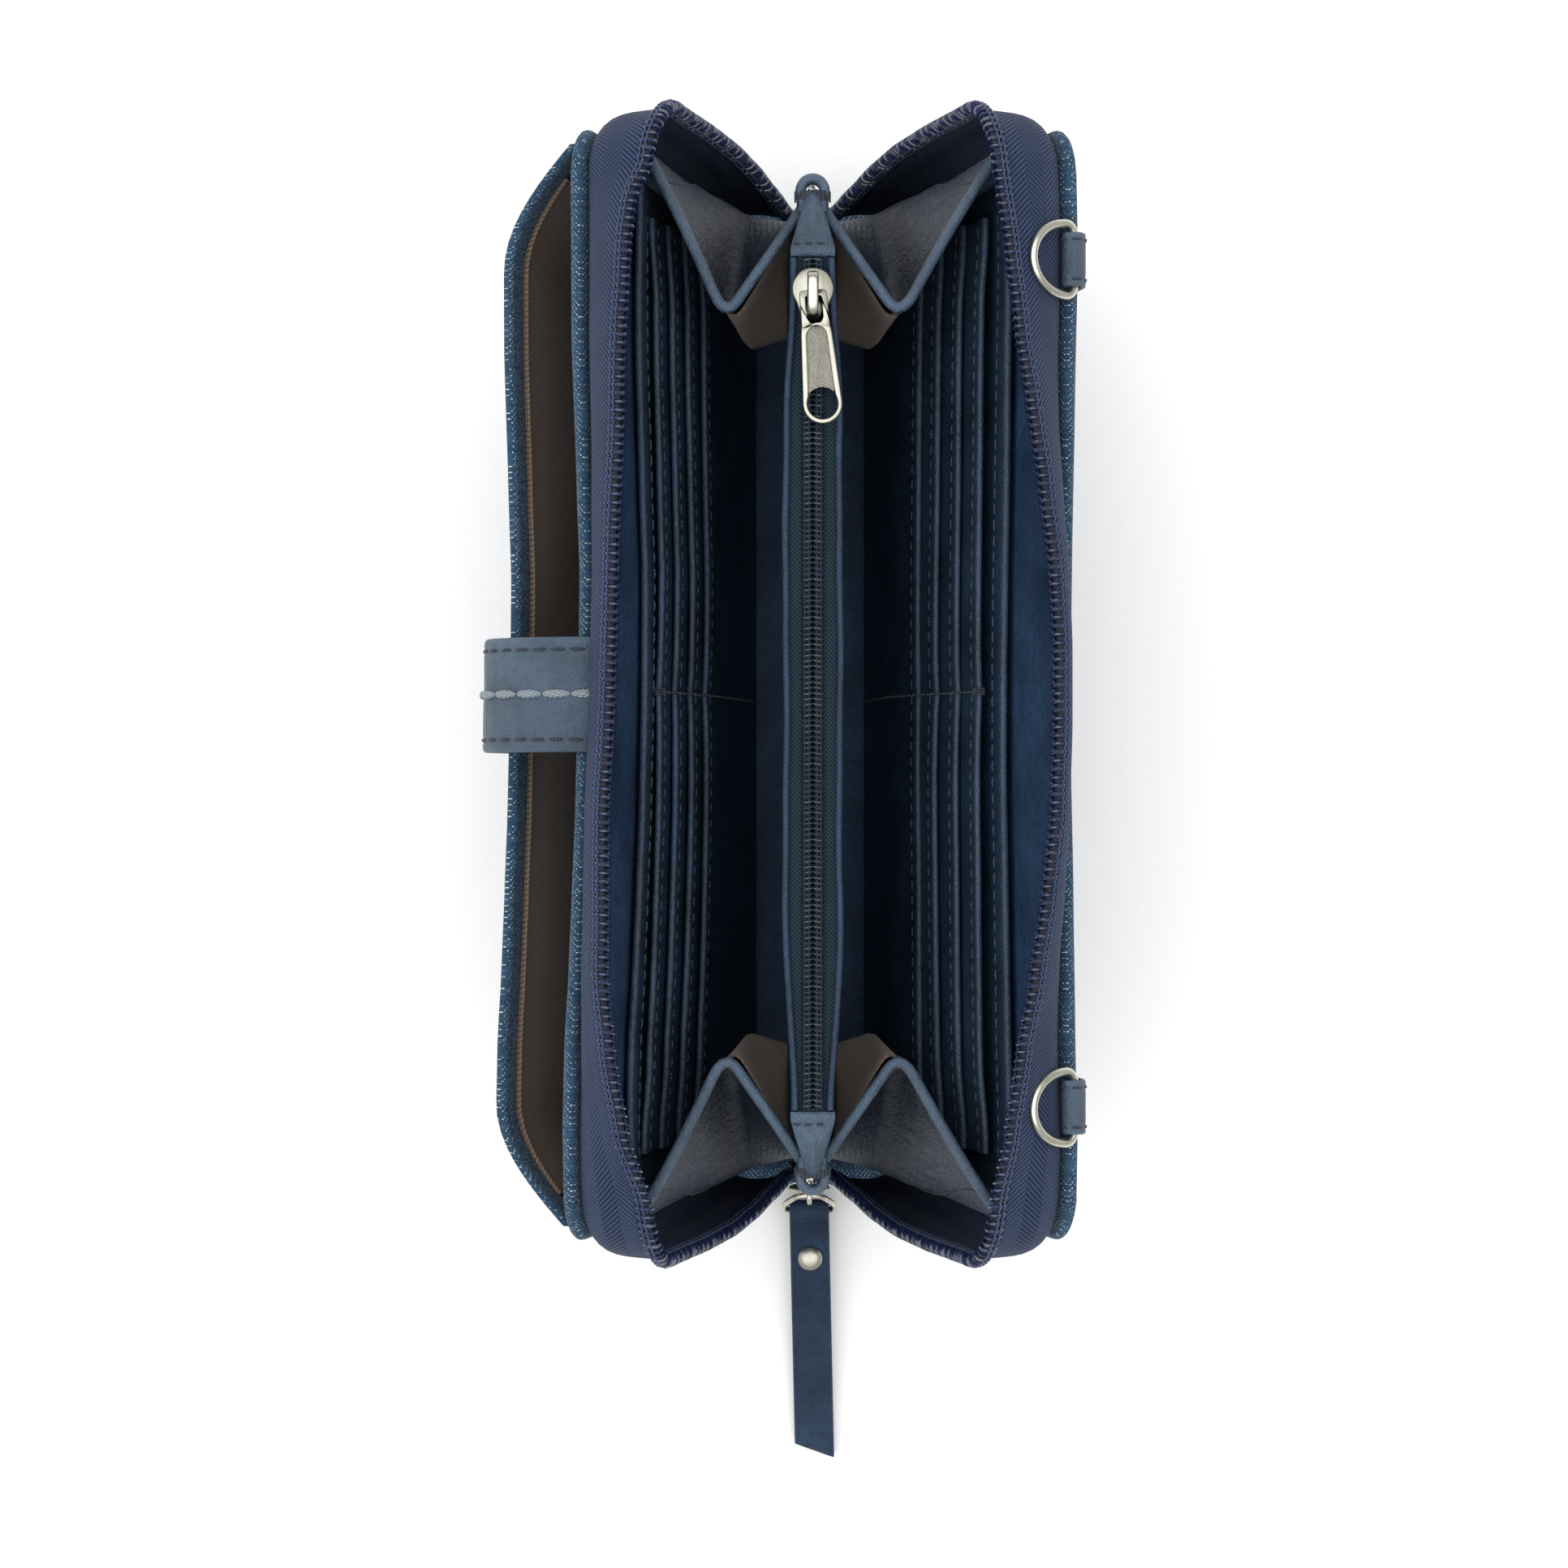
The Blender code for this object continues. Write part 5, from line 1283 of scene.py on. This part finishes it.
def pocket_sheet(half, lengths, levels, shrink, thickness, top_drop=0.0, hem=None):
    """Closed skin of the pocket wall between two offsets of its middle surface."""
    loops, marks = [], []
    run, last = 0.0, None
    for y in lengths:
        here = Vector((y, pocket_point(y, 60.0)))
        run += (here - last).length if last else 0.0
        last = here
        rim = pocket_rim(y) - top_drop
        line, heights = [], []
        for level in levels:
            if level < -0.5:
                w, out = 1.65, pocket_point(y, 1.6, shrink)
            elif level < 0:
                w, out = 1.8, pocket_point(y, 2.2, shrink)
            else:
                w = blend(2.5, rim, level)
                out = pocket_point(y, max(w, 2.4), shrink)
            line.append((-out, w))
            heights.append(w)
        thick = [thickness] * len(line)
        if hem:
            thick = [hem(h, rim) for h in heights]
        section = ribbon(line, thick)
        loops.append([half.at(u, y, w) for u, w in section])
        marks.append([(run, w - u * 0.3) for u, w in section])
    return Shape().loft(loops, weave=lambda i, k: marks[i][k])


def build_pocket():
    half = LEFT
    fine = [96.8, 96.2, 95.0, 93.6, 92.0, 90.2, 88.2, 86.0, 83.6, 81.0, 78.0, 75.0]
    lengths = [-y for y in fine] + spread(-70.0, 70.0, 29) + fine[::-1]

    def hem(w, rim):
        return 2.0 if w > rim - 6.2 else 1.35

    levels = [-1.0, -0.2, 0.0, 0.1, 0.25, 0.45, 0.65, 0.8, 0.9, 0.925, 0.94, 0.97, 0.99, 1.0]
    shape = pocket_sheet(half, lengths, levels, 0.0, 1.35, 1.0, hem)
    place(shape, "pocket_denim", "denim", "denim", half.body, ["phone_pocket_panel"])

    inner = [y for y in lengths if abs(y) < 93.0]
    levels = [0.1, 0.3, 0.5, 0.7, 0.85, 0.94]
    shape = pocket_sheet(half, inner, levels, 1.3, 0.5)
    place(shape, "pocket_twill", "twill", "twill", half.body, ["phone_pocket_lining"])

    piping, seam = Shape(), Shape()
    rim_line = []
    for y in inner:
        w = pocket_rim(y) - 5.6
        rim_line.append(half.at(-pocket_point(y, w, 1.55), y, w))
    piping.tube(Track(rim_line).even(1.5), 0.42, 8)
    place(piping, "pocket_piping", "piping", "twill", half.body)
    hems, outs = [], []
    for y in lengths:
        w = pocket_rim(y) - 5.0
        hems.append(half.at(-pocket_point(y, w, -1.02), y, w))
        outs.append(half.way(-1.0, 0.0, 0.0))
    seam.stitches(hems, outs, *RIM_STITCH)
    edge = [half.at(-pocket_point(95.4, w, -0.8), 95.4, w) for w in spread(3.0, 92.0, 30)]
    for line in (edge, [Vector((p.x, -p.y, p.z)) for p in edge]):
        seam.stitches(line, half.way(-1.0, 0.0, 0.0), *RIM_STITCH)
    place(seam, "pocket_seams", "dark_thread", "denim", half.body)


def strap_line():
    """The strap's middle line, from under the zip tape over the rim and down the pocket."""
    hinge_u, hinge_w = 2.4, 106.5
    points = [(0.9, -3.9), (0.9, -1.6), (0.2, -0.25), (-1.6, 0.05), (-4.4, 0.0), (-8.0, -0.4), (-10.8, -1.15),
              (-13.6, -2.1), (-16.2, -3.4), (-18.3, -4.9), (-20.0, -6.7), (-21.1, -8.8), (-21.7, -11.5),
              (-22.1, -15.0), (-22.3, -19.0), (-22.3, -26.0), (-21.9, -31.0), (-21.4, -36.5), (-21.05, -40.4),
              (-20.9, -42.1)]
    return [(hinge_u + a, hinge_w + b) for a, b in points]


def build_strap():
    half = LEFT
    line = strap_line()
    flat = Track([Vector((u, w, 0.0)) for u, w in line])
    line = [(p.x, p.y) for p in flat.even(0.9)]
    loops = []
    edge = [(-1.0, 0.1), (-0.992, 0.5), (-0.97, 0.76), (-0.93, 0.92), (-0.87, 1.0)]
    across = edged(edge, STRAP_SEAM, 17)
    sides = normals(line, -1)
    for i, ((u, w), (nu, nw)) in enumerate(zip(line, sides)):
        from_end = (len(line) - 1 - i) * 0.9
        pinch = 1.0 if from_end > 5 else (1 - (1 - from_end / 5) ** 2.4 * 0.5) ** 0.5
        top, under = [], []
        for f, t in across:
            y = STRAP_Y + f * STRAP_WIDTH / 2 * pinch
            groove = 0.16 * exp(-((abs(f) - STRAP_SEAM) / 0.03) ** 2) + 0.10 * exp(-(f / 0.04) ** 2)
            h = STRAP_THICK / 2 * (0.25 + 0.75 * t) - groove + 0.05 * sin(i * 0.7 + f * 5) * (1 - abs(f))
            top.append(half.at(u + nu * h, y, w + nw * h))
            below = -STRAP_THICK / 2 * (0.25 + 0.75 * t)
            under.append(half.at(u + nu * below, y, w + nw * below))
        loops.append(top + under[::-1])
    shape = Shape().loft(loops)
    bend = ("left_half", "strap", half.at(2.6, 0.0, 104.0), half.at(-3.0, 0.0, 106.9))
    place(shape, "strap_leather", "strap_leather", "leather", None, ["phone_strap"], bend)

    seam, cord = Shape(), Shape()
    for side in (-1, 1):
        path, outs = [], []
        for (u, w), (nu, nw) in list(zip(line, sides))[2:-3]:
            path.append(half.at(u + nu * 1.0, STRAP_Y + side * STRAP_SEAM * STRAP_WIDTH / 2, w + nw * 1.0))
            outs.append(half.way(nu, 0.0, nw))
        seam.stitches(path, outs, 3.7, 0.75, 0.3)
    place(seam, "strap_edge_seams", "dark_thread", "leather", None, (), bend)
    path, outs = [], []
    for (u, w), (nu, nw) in list(zip(line, sides))[3:-4]:
        path.append(half.at(u + nu * 1.12, STRAP_Y + 0.15, w + nw * 1.12))
        outs.append(half.way(nu, 0.0, nw))
    track = Track(path)
    start = 0.6
    while start + CORD_LENGTH < track.length:
        for ply in range(CORD_PLIES):
            twist = []
            for k in range(13):
                t = k / 12
                d = start + CORD_LENGTH * t
                out = track.at(d, outs)
                swell = sin(pi * t) ** 0.35 if 0 < t < 1 else 0.15
                angle = 2 * pi * (ply / CORD_PLIES + t * CORD_TURNS)
                twist.append(track.at(d) + Vector((0.0, 0.42 * swell * cos(angle), 0.0))
                             + out * (0.30 * swell * sin(angle) + 0.30 * swell - 0.12))
            cord.tube(twist, lambda f: 0.42 * (0.55 + 0.45 * sin(pi * f)), 7)
        start += CORD_LENGTH + CORD_GAP
    place(cord, "strap_contrast_stitch", "strap_thread", "leather", None, (), bend)


def build_snap():
    """Cap outside the strap, with the socket under it and the stud on the pocket."""
    bowed = LEFT.side * along(BOWS["left"], STRAP_Y) * smooth(SNAP_W / WALL_HEIGHT)
    places = []
    for node in ("snap_cap", "snap_socket", "snap_stud"):
        low, high = box_mm(node)
        places.append((Vector(low) + Vector(high)) / 2 + Vector((bowed, 0.0, 0.0)))
    axis = (places[0] - places[2]).normalized()
    profiles = [
        [(4.55, -0.8), (5.0, -0.55), (5.05, -0.2), (4.6, 0.12), (4.2, 0.1), (3.9, 0.22), (2.8, 0.55),
         (1.4, 0.76), (0.0, 0.82)],
        [(0.0, 0.0), (2.55, 0.0), (2.6, -0.2), (2.8, -0.28), (3.2, -0.24), (3.9, -0.2), (4.2, 0.0),
         (4.2, 0.22), (0.0, 0.25)],
        [(0.0, -0.45), (3.4, -0.45), (3.6, -0.3), (3.5, -0.05), (1.8, 0.05), (1.45, 0.15), (1.6, 0.32),
         (1.4, 0.45), (0.0, 0.45)],
    ]
    names = [("snap_dome", "strap", "snap_cap"), ("snap_ring", "strap", "snap_socket"),
             ("snap_knob", "left_half", "snap_stud")]
    for centre, profile, (name, body, node) in zip(places, profiles, names):
        place(Shape().turned(profile, centre, axis, 40), name, "nickel", "nickel", body, [node])


# ---------------------------------------------------------------- D-rings


def build_d_ring(name, side):
    half = RIGHT
    y = side * RING_Y
    reach_u, reach_w = cos(radians(RING_RISE)), sin(radians(RING_RISE))
    wide, bend = RING_WIDE, RING_BEND
    flat = [(0.0, f) for f in spread(-wide + bend, wide - bend, 7)]
    corner = [(bend - bend * cos(a), wide - bend + bend * sin(a))
              for a in spread(radians(15), radians(75), 5)]
    flat += corner
    for k in range(25):
        angle = pi / 2 - pi * k / 24
        flat.append((bend + (RING_DEEP - bend) * cos(angle), wide * sin(angle)))
    flat += [(d, -across) for d, across in corner[::-1]]
    path = [half.unbowed(RING_BAR_U + d * reach_u, y + across, RING_BAR_W + d * reach_w)
            for d, across in flat]
    ring = Shape().tube(path, RING_WIRE, 14, closed=True)
    body = "ring_" + name
    place(ring, "d_ring_wire_" + name, "bright_nickel", "nickel", body, ["d_ring_" + name])

    line = [(-1.35, 91.2), (-1.38, 95.0), (-1.4, 99.0), (-1.4, 103.0), (-1.3, 105.3), (-1.0, 106.6)]
    for a in spread(radians(190), radians(-35), 12):
        line.append((RING_BAR_U + 1.62 * cos(a), RING_BAR_W + 1.62 * sin(a)))
    line += [(2.25, 105.9), (2.2, 104.6), (2.1, 103.0)]
    track = Track([Vector((u, w, 0.0)) for u, w in line])
    line = [(p.x, p.y) for p in track.even(0.8)]
    loops, sides = [], normals(line)
    across = edged([(-1.0, 0.35), (-0.97, 0.8), (-0.9, 1.0)], TAB_SEAM, 7)
    for (u, w), (nu, nw) in zip(line, sides):
        top, under = [], []
        for f, t in across:
            h = 0.55 * t - 0.08 * exp(-((abs(f) - TAB_SEAM) / 0.05) ** 2)
            top.append(half.unbowed(u + nu * h, y + f * TAB_HALF_WIDTH, w + nw * h))
            under.append(half.unbowed(u - nu * 0.5 * t, y + f * TAB_HALF_WIDTH, w - nw * 0.5 * t))
        loops.append(top + under[::-1])
    shape = Shape().loft(loops)
    tab = "d_ring_tab_" + name
    place(shape, tab + "_leather", "strap_leather", "leather", half.body, [tab])
    seam = Shape()
    for edge_side in (-1, 1):
        path = [half.unbowed(u + nu * 0.5, y + edge_side * TAB_SEAM * TAB_HALF_WIDTH, w + nw * 0.5)
                for (u, w), (nu, nw) in list(zip(line, sides))[1:-1]]
        outs = [half.way(nu, 0.0, nw) for nu, nw in sides[1:-1]]
        seam.stitches(path, outs, *LEATHER_STITCH)
    foot = [half.unbowed(-1.9, y + f, 92.4) for f in spread(-3.4, 3.4, 9)]
    seam.stitches(foot, half.way(-1.0, 0.0, 0.0), 2.4, 0.6, 0.2, 0.1)
    place(seam, tab + "_seams", "dark_thread", "leather", half.body)


# ---------------------------------------------------------------- sliders and pulls


def plate(shape, outer, inner, z0, z1, edge, to_world):
    """A flat ring between two outlines of equal count, with eased edges; inner None fills it."""

    def level(outline, z, grow):
        points = []
        for i, (x, y) in enumerate(outline):
            before, after = outline[i - 1], outline[(i + 1) % len(outline)]
            size = hypot(after[0] - before[0], after[1] - before[1]) or 1.0
            nx, ny = (after[1] - before[1]) / size, -(after[0] - before[0]) / size
            points.append(to_world(x + nx * grow, y + ny * grow, z))
        return points

    loops = [level(outer, z0, -edge), level(outer, z0 + edge, 0.0), level(outer, z1 - edge, 0.0),
             level(outer, z1, -edge)]
    if inner:
        loops += [level(inner, z1, edge), level(inner, z1 - edge, 0.0), level(inner, z0 + edge, 0.0),
                  level(inner, z0, edge)]
        shape.loft(loops, ring=True)
    else:
        shape.loft(loops)


def even_outline(points, count):
    track = Track([Vector((x, y, 0.0)) for x, y in points], closed=True)
    return [(p.x, p.y) for p in (track.at(track.length * k / count) for k in range(count))]


def build_coin_slider():
    low, high = box_mm("coin_slider")
    y0 = (low[1] + high[1]) / 2 - 0.15
    base = 104.35

    def world(x, y, z):
        return Vector((x, y0 + y, base + z))

    body = Shape()
    head = arc((0.0, 0.9), 3.75, -35, 215, 30)
    tail = [(-2.55, -2.6), (-2.3, -3.6), (-1.4, -4.1), (1.4, -4.1), (2.3, -3.6), (2.55, -2.6)]
    plate(body, even_outline(head + tail, 60), None, 0.0, 1.0, 0.28, world)
    lower = [(x * 0.6, y * 0.85) for x, y in head + tail]
    plate(body, even_outline(lower, 40), None, -3.3, -2.4, 0.2, world)
    web = [(-0.25, -2.0), (0.25, -2.0), (0.25, 3.2), (-0.25, 3.2)]
    plate(body, even_outline(web, 24), None, -2.6, 0.3, 0.02, world)
    place(body, "coin_slider_plate", "nickel", "nickel", "purse_slider", ["coin_slider"])

    spine = [(3.5, 0.6), (3.55, 1.6), (3.3, 2.6), (2.6, 3.25), (1.4, 3.45), (-0.5, 3.5), (-2.0, 3.42),
             (-3.1, 3.0), (-3.65, 2.2), (-3.75, 1.2), (-3.7, 0.5)]
    track = Track([world(0.0, y, z) for y, z in spine])
    loops = []
    for point, across, up in frames(track.even(0.5), Vector((0.0, 1.0, 0.0))):
        loops.append([point + across * a + up * b for a, b in oval(14, 1.0, 0.46, 0.7, 0.8)])
    place(Shape().loft(loops), "coin_slider_bridge", "bright_nickel", "nickel", "purse_slider")

    hinge = Vector([c / MM for c in JOINTS["purse_pull_flip"]["pos_m"]])
    turn = radians(COIN_PULL_TURN)

    def pull(x, y, z):
        return hinge + Vector((x * cos(turn) - y * sin(turn), x * sin(turn) + y * cos(turn), z))

    far = COIN_PULL_REACH
    eye = even_outline([(-1.35, -0.7), (-1.35, -4.4), (-0.9, -5.2),
                        (0.9, -5.2), (1.35, -4.4), (1.35, -0.7)], 48)
    frame_piece = Shape()
    top_frame = even_outline([(2.45, -0.2), (2.3, 0.35), (1.9, 0.55), (-1.9, 0.55), (-2.3, 0.35),
                              (-2.45, -0.2), (-2.5, -4.6), (-2.58, -6.2), (2.58, -6.2), (2.5, -4.6)], 48)
    plate(frame_piece, top_frame, eye, -0.5, 0.5, 0.16, pull)
    long_frame = [(-2.6, -5.9), (-2.78, -7.4)] + arc((0.0, far), 3.5, 180, 360, 20)
    long_frame += [(2.78, -7.4), (2.6, -5.9)]
    panel = [(-1.75, -7.6), (-2.15, -15.8)] + arc((0.0, far), 2.72, 150, 390, 20)
    panel += [(2.15, -15.8), (1.75, -7.6)]
    panel += arc((0.0, -7.6), 1.75, 0, 180, 8)
    plate(frame_piece, even_outline(long_frame, 72), even_outline(panel, 72), -0.5, 0.5, 0.16, pull)
    place(frame_piece, "coin_pull_frame", "nickel", "nickel", "purse_pull", ["coin_pull"])
    centre_piece = Shape()
    field = [(-1.95, -7.6), (-2.32, -17.0)] + arc((0.0, far), 2.95, 138, 42, 14)
    field += [(2.32, -17.0), (1.95, -7.6)]
    field += arc((0.0, -7.6), 1.95, 0, 180, 8)
    plate(centre_piece, even_outline(field, 90), None, -0.3, 0.2, 0.05, pull)
    place(centre_piece, "coin_pull_panel", "stipple_nickel", "nickel", "purse_pull")


def build_main_slider():
    low, high = box_mm("main_slider")
    front, back = -99.7, high[1]
    middle = (low[2] + high[2]) / 2

    def facing(y_out, y_in):
        def world(x, v, z):
            return Vector((x, blend(y_in, y_out, z), middle + v))
        return world

    body = Shape()
    outline_points = arc((0.0, 0.6), 4.15, -20, 200, 26)
    outline_points += [(-3.2, -3.2), (-2.4, -4.2), (2.4, -4.2), (3.2, -3.2)]
    for y_out, y_in in ((front, front + 1.0), (back, back - 1.0)):
        plate(body, even_outline(outline_points, 56), None, 0.0, 1.0, 0.2, facing(y_out, y_in))
    post = [(-0.75, 0.6), (0.75, 0.6), (0.75, 3.2), (-0.75, 3.2)]
    plate(body, even_outline(post, 24), None, 0.0, 1.0, 0.02, facing(front + 0.8, back - 0.8))
    place(body, "slider_plates", "nickel", "nickel", "mouth_slider", ["main_slider"])
    hinge = Vector([c / MM for c in JOINTS["mouth_link_swing"]["pos_m"]])
    bridge = Shape()
    spine = [(front + 0.1, 2.7), (front - 0.9, 3.0), (front - 1.9, 2.6), (front - 2.35, 1.5),
             (front - 2.35, -1.5), (front - 1.9, -2.6), (front - 0.9, -3.0), (front + 0.1, -2.7)]
    track = Track([Vector((0.0, y, hinge.z + v)) for y, v in spine])
    bridge.tube(track.even(0.5), 0.5, 10, hint=Vector((0.0, 0.0, 1.0)))
    place(bridge, "slider_bridge", "bright_nickel", "nickel", "mouth_slider")

    bar = Vector([c / MM for c in JOINTS["mouth_pull_swing"]["pos_m"]])
    drop = bar - hinge
    flat = [(-2.0, 0.05), (-2.6, 0.1), (-4.4, 0.48), (-4.9, 0.62), (-4.95, 0.8), (-4.7, 0.95), (-4.2, 1.0),
            (4.2, 1.0), (4.7, 0.95), (4.95, 0.8), (4.9, 0.62), (4.4, 0.48), (2.6, 0.1), (2.0, 0.05),
            (1.0, 0.0), (-1.0, 0.0)]
    track = Track([hinge + Vector((x, 0.0, 0.0)) + drop * t for x, t in flat], closed=True)
    path = [track.at(track.length * k / 72) for k in range(72)]
    link = Shape().tube(path, 0.63, 12, closed=True)
    place(link, "pull_link_wire", "bright_nickel", "nickel", "mouth_link", ["pull_link"])


def build_leather_pull():
    """Two layers of leather folded round the link, riveted, with a slanted end."""
    bar = Vector([c / MM for c in JOINTS["mouth_pull_swing"]["pos_m"]])
    length, thick, wide, turn = PULL_LENGTH, PULL_THICK, PULL_WIDE, radians(PULL_TURN)
    sink = asin((bar.z - PULL_REST_HEIGHT) / length)

    def world(x, d, h):
        z = -d * sin(sink)
        across = Vector((cos(turn), sin(turn), 0.0))
        ahead = Vector((sin(turn), -cos(turn), 0.0))
        up = Vector((0.0, 0.0, cos(sink))) + ahead * sin(sink)
        return bar + across * x + ahead * (d * cos(sink)) + Vector((0.0, 0.0, z)) + up * h

    shape = Shape()
    loops = []
    distances = [1.9, 2.4, 3.2, 4.5, 6.0, 8.0] + spread(10.0, length - 5.0, 24)
    distances += [length - 3.0, length - 1.5, length - 0.6]
    across = edged([(-1.0, 0.12), (-0.995, 0.5), (-0.97, 0.82), (-0.92, 1.0)], 0.84, 11)
    for distance in distances:
        slant = smooth((distance - length * 0.86) / (length * 0.14))
        thin = blend(0.66, 1.0, smooth((distance - 1.9) / 3.0))
        top, under = [], []
        for f, t in across:
            d = distance + slant * (f * 1.6)
            edge_line = 0.10 * exp(-((abs(f) - 0.86) / 0.04) ** 2)
            wave = 0.10 * sin(d / 7.0) + 0.05 * sin(d / 2.9 + f * 3)
            h = (0.18 + 0.82 * t) * thick / 2 * thin
            top.append(world(f * wide / 2, d, h - edge_line + wave * 0.5))
            under.append(world(f * wide / 2, d, -h))
        loops.append(top + under[::-1])
    shape.loft(loops)
    wrap = []
    for k in range(19):
        angle = radians(blend(152, -152, k / 18))
        wrap.append((-PULL_WRAP * cos(angle), PULL_WRAP * sin(angle)))
    fold_loops = []
    for (d, h), (nd, nh) in zip(wrap, normals(wrap, -1)):
        skins = []
        for way in (-1, 1):
            skin = []
            for f, t in across:
                off = way * PULL_PLY * (0.3 + 0.7 * t)
                skin.append(world(f * wide / 2, d + nd * off, h + nh * off))
            skins.append(skin)
        fold_loops.append(skins[0] + skins[1][::-1])
    shape.loft(fold_loops)
    place(shape, "pull_strap", "pull_leather", "leather", "mouth_pull", ["leather_pull"])
    rivet = Shape()
    seat = world(0.0, PULL_RIVET_D, 0.0)
    up = (world(0.0, PULL_RIVET_D, 1.0) - seat).normalized()
    face = thick / 2
    rivet.turned([(2.2, -face - 0.45), (2.25, -face), (1.0, -face + 0.2), (1.0, face - 0.2),
                  (2.35, face + 0.02), (2.55, face + 0.2), (2.5, face + 0.42), (2.05, face + 0.85),
                  (1.3, face + 1.15), (0.0, face + 1.28)], seat, up, 36)
    place(rivet, "pull_rivet_dome", "nickel", "nickel", "mouth_pull", ["pull_rivet"])


def build_end_stops():
    for name in ("front", "rear"):
        low, high = box_mm("zip_end_stop_" + name)
        centre = (Vector(low) + Vector(high)) / 2
        wide, deep, tall = [(b - a) / 2 for a, b in zip(low, high)]
        loops = []
        for v, scale in ((-1.0, 0.75), (-0.9, 0.93), (-0.5, 1.0), (0.4, 0.97), (0.85, 0.85), (1.0, 0.6)):
            corners = oval(24, wide * scale, deep * scale, 0.5, 0.5)
            loops.append([centre + Vector((x, y, tall * v)) for x, y in corners])
        node = "zip_end_stop_" + name
        place(Shape().loft(loops), "zip_stop_" + name, "coil", "zip_coil", "wallet_core", [node])


def dress_stiffener():
    data = frame["nodes"]["spine_stiffener"].data
    data.materials.clear()
    data.materials.append(M["board"])


# ---------------------------------------------------------------- stage


def build_stage():
    scene = bpy.context.scene
    mesh = bpy.data.meshes.new("floor")
    size = FLOOR_REACH_M
    corners = [(-size, -size, 0), (size, -size, 0), (size, size, 0), (-size, size, 0)]
    mesh.from_pydata(corners, [], [(0, 1, 2, 3)])
    mesh.materials.append(floor_paper("floor_paper"))
    floor = bpy.data.objects.new("floor", mesh)
    scene.collection.objects.link(floor)

    world = bpy.data.worlds.new("studio")
    world.use_nodes = True
    tree = world.node_tree
    background = tree.nodes["Background"]
    background.inputs["Color"].default_value = (1.0, 1.0, 1.0, 1.0)
    rays = tree.nodes.new("ShaderNodeLightPath")
    level = tree.nodes.new("ShaderNodeMapRange")
    level.inputs["To Min"].default_value = WORLD_LIGHT
    level.inputs["To Max"].default_value = WORLD_SEEN
    tree.links.new(rays.outputs["Is Camera Ray"], level.inputs["Value"])
    tree.links.new(level.outputs[0], background.inputs["Strength"])
    scene.world = world

    light = bpy.data.lights.new("softbox", "SUN")
    light.energy = SUN_POWER
    light.angle = radians(SUN_ANGLE)
    softbox = bpy.data.objects.new("softbox", light)
    softbox.rotation_euler = (radians(SUN_TILT[0]), radians(SUN_TILT[1]), 0.0)
    scene.collection.objects.link(softbox)

    camera = bpy.data.cameras.new("camera")
    camera.lens = CAMERA_LENS
    camera.sensor_width = CAMERA_SENSOR
    camera.clip_start = 0.01
    eye = bpy.data.objects.new("camera", camera)
    eye.location = CAMERA_PLACE
    scene.collection.objects.link(eye)
    scene.camera = eye
    scene.view_settings.view_transform = "Standard"


build_stage()
for each_half in (LEFT, RIGHT):
    build_cover(each_half)
    build_zip(each_half)
    build_tape_facing(each_half)
    build_cards(each_half)
    for end_name, end in (("front", -1), ("rear", 1)):
        build_gusset(each_half, end_name, end)
build_spine()
build_purse()
build_pocket()
build_strap()
build_snap()
build_d_ring("front", -1)
build_d_ring("rear", 1)
build_coin_slider()
build_main_slider()
build_leather_pull()
build_end_stops()
dress_stiffener()
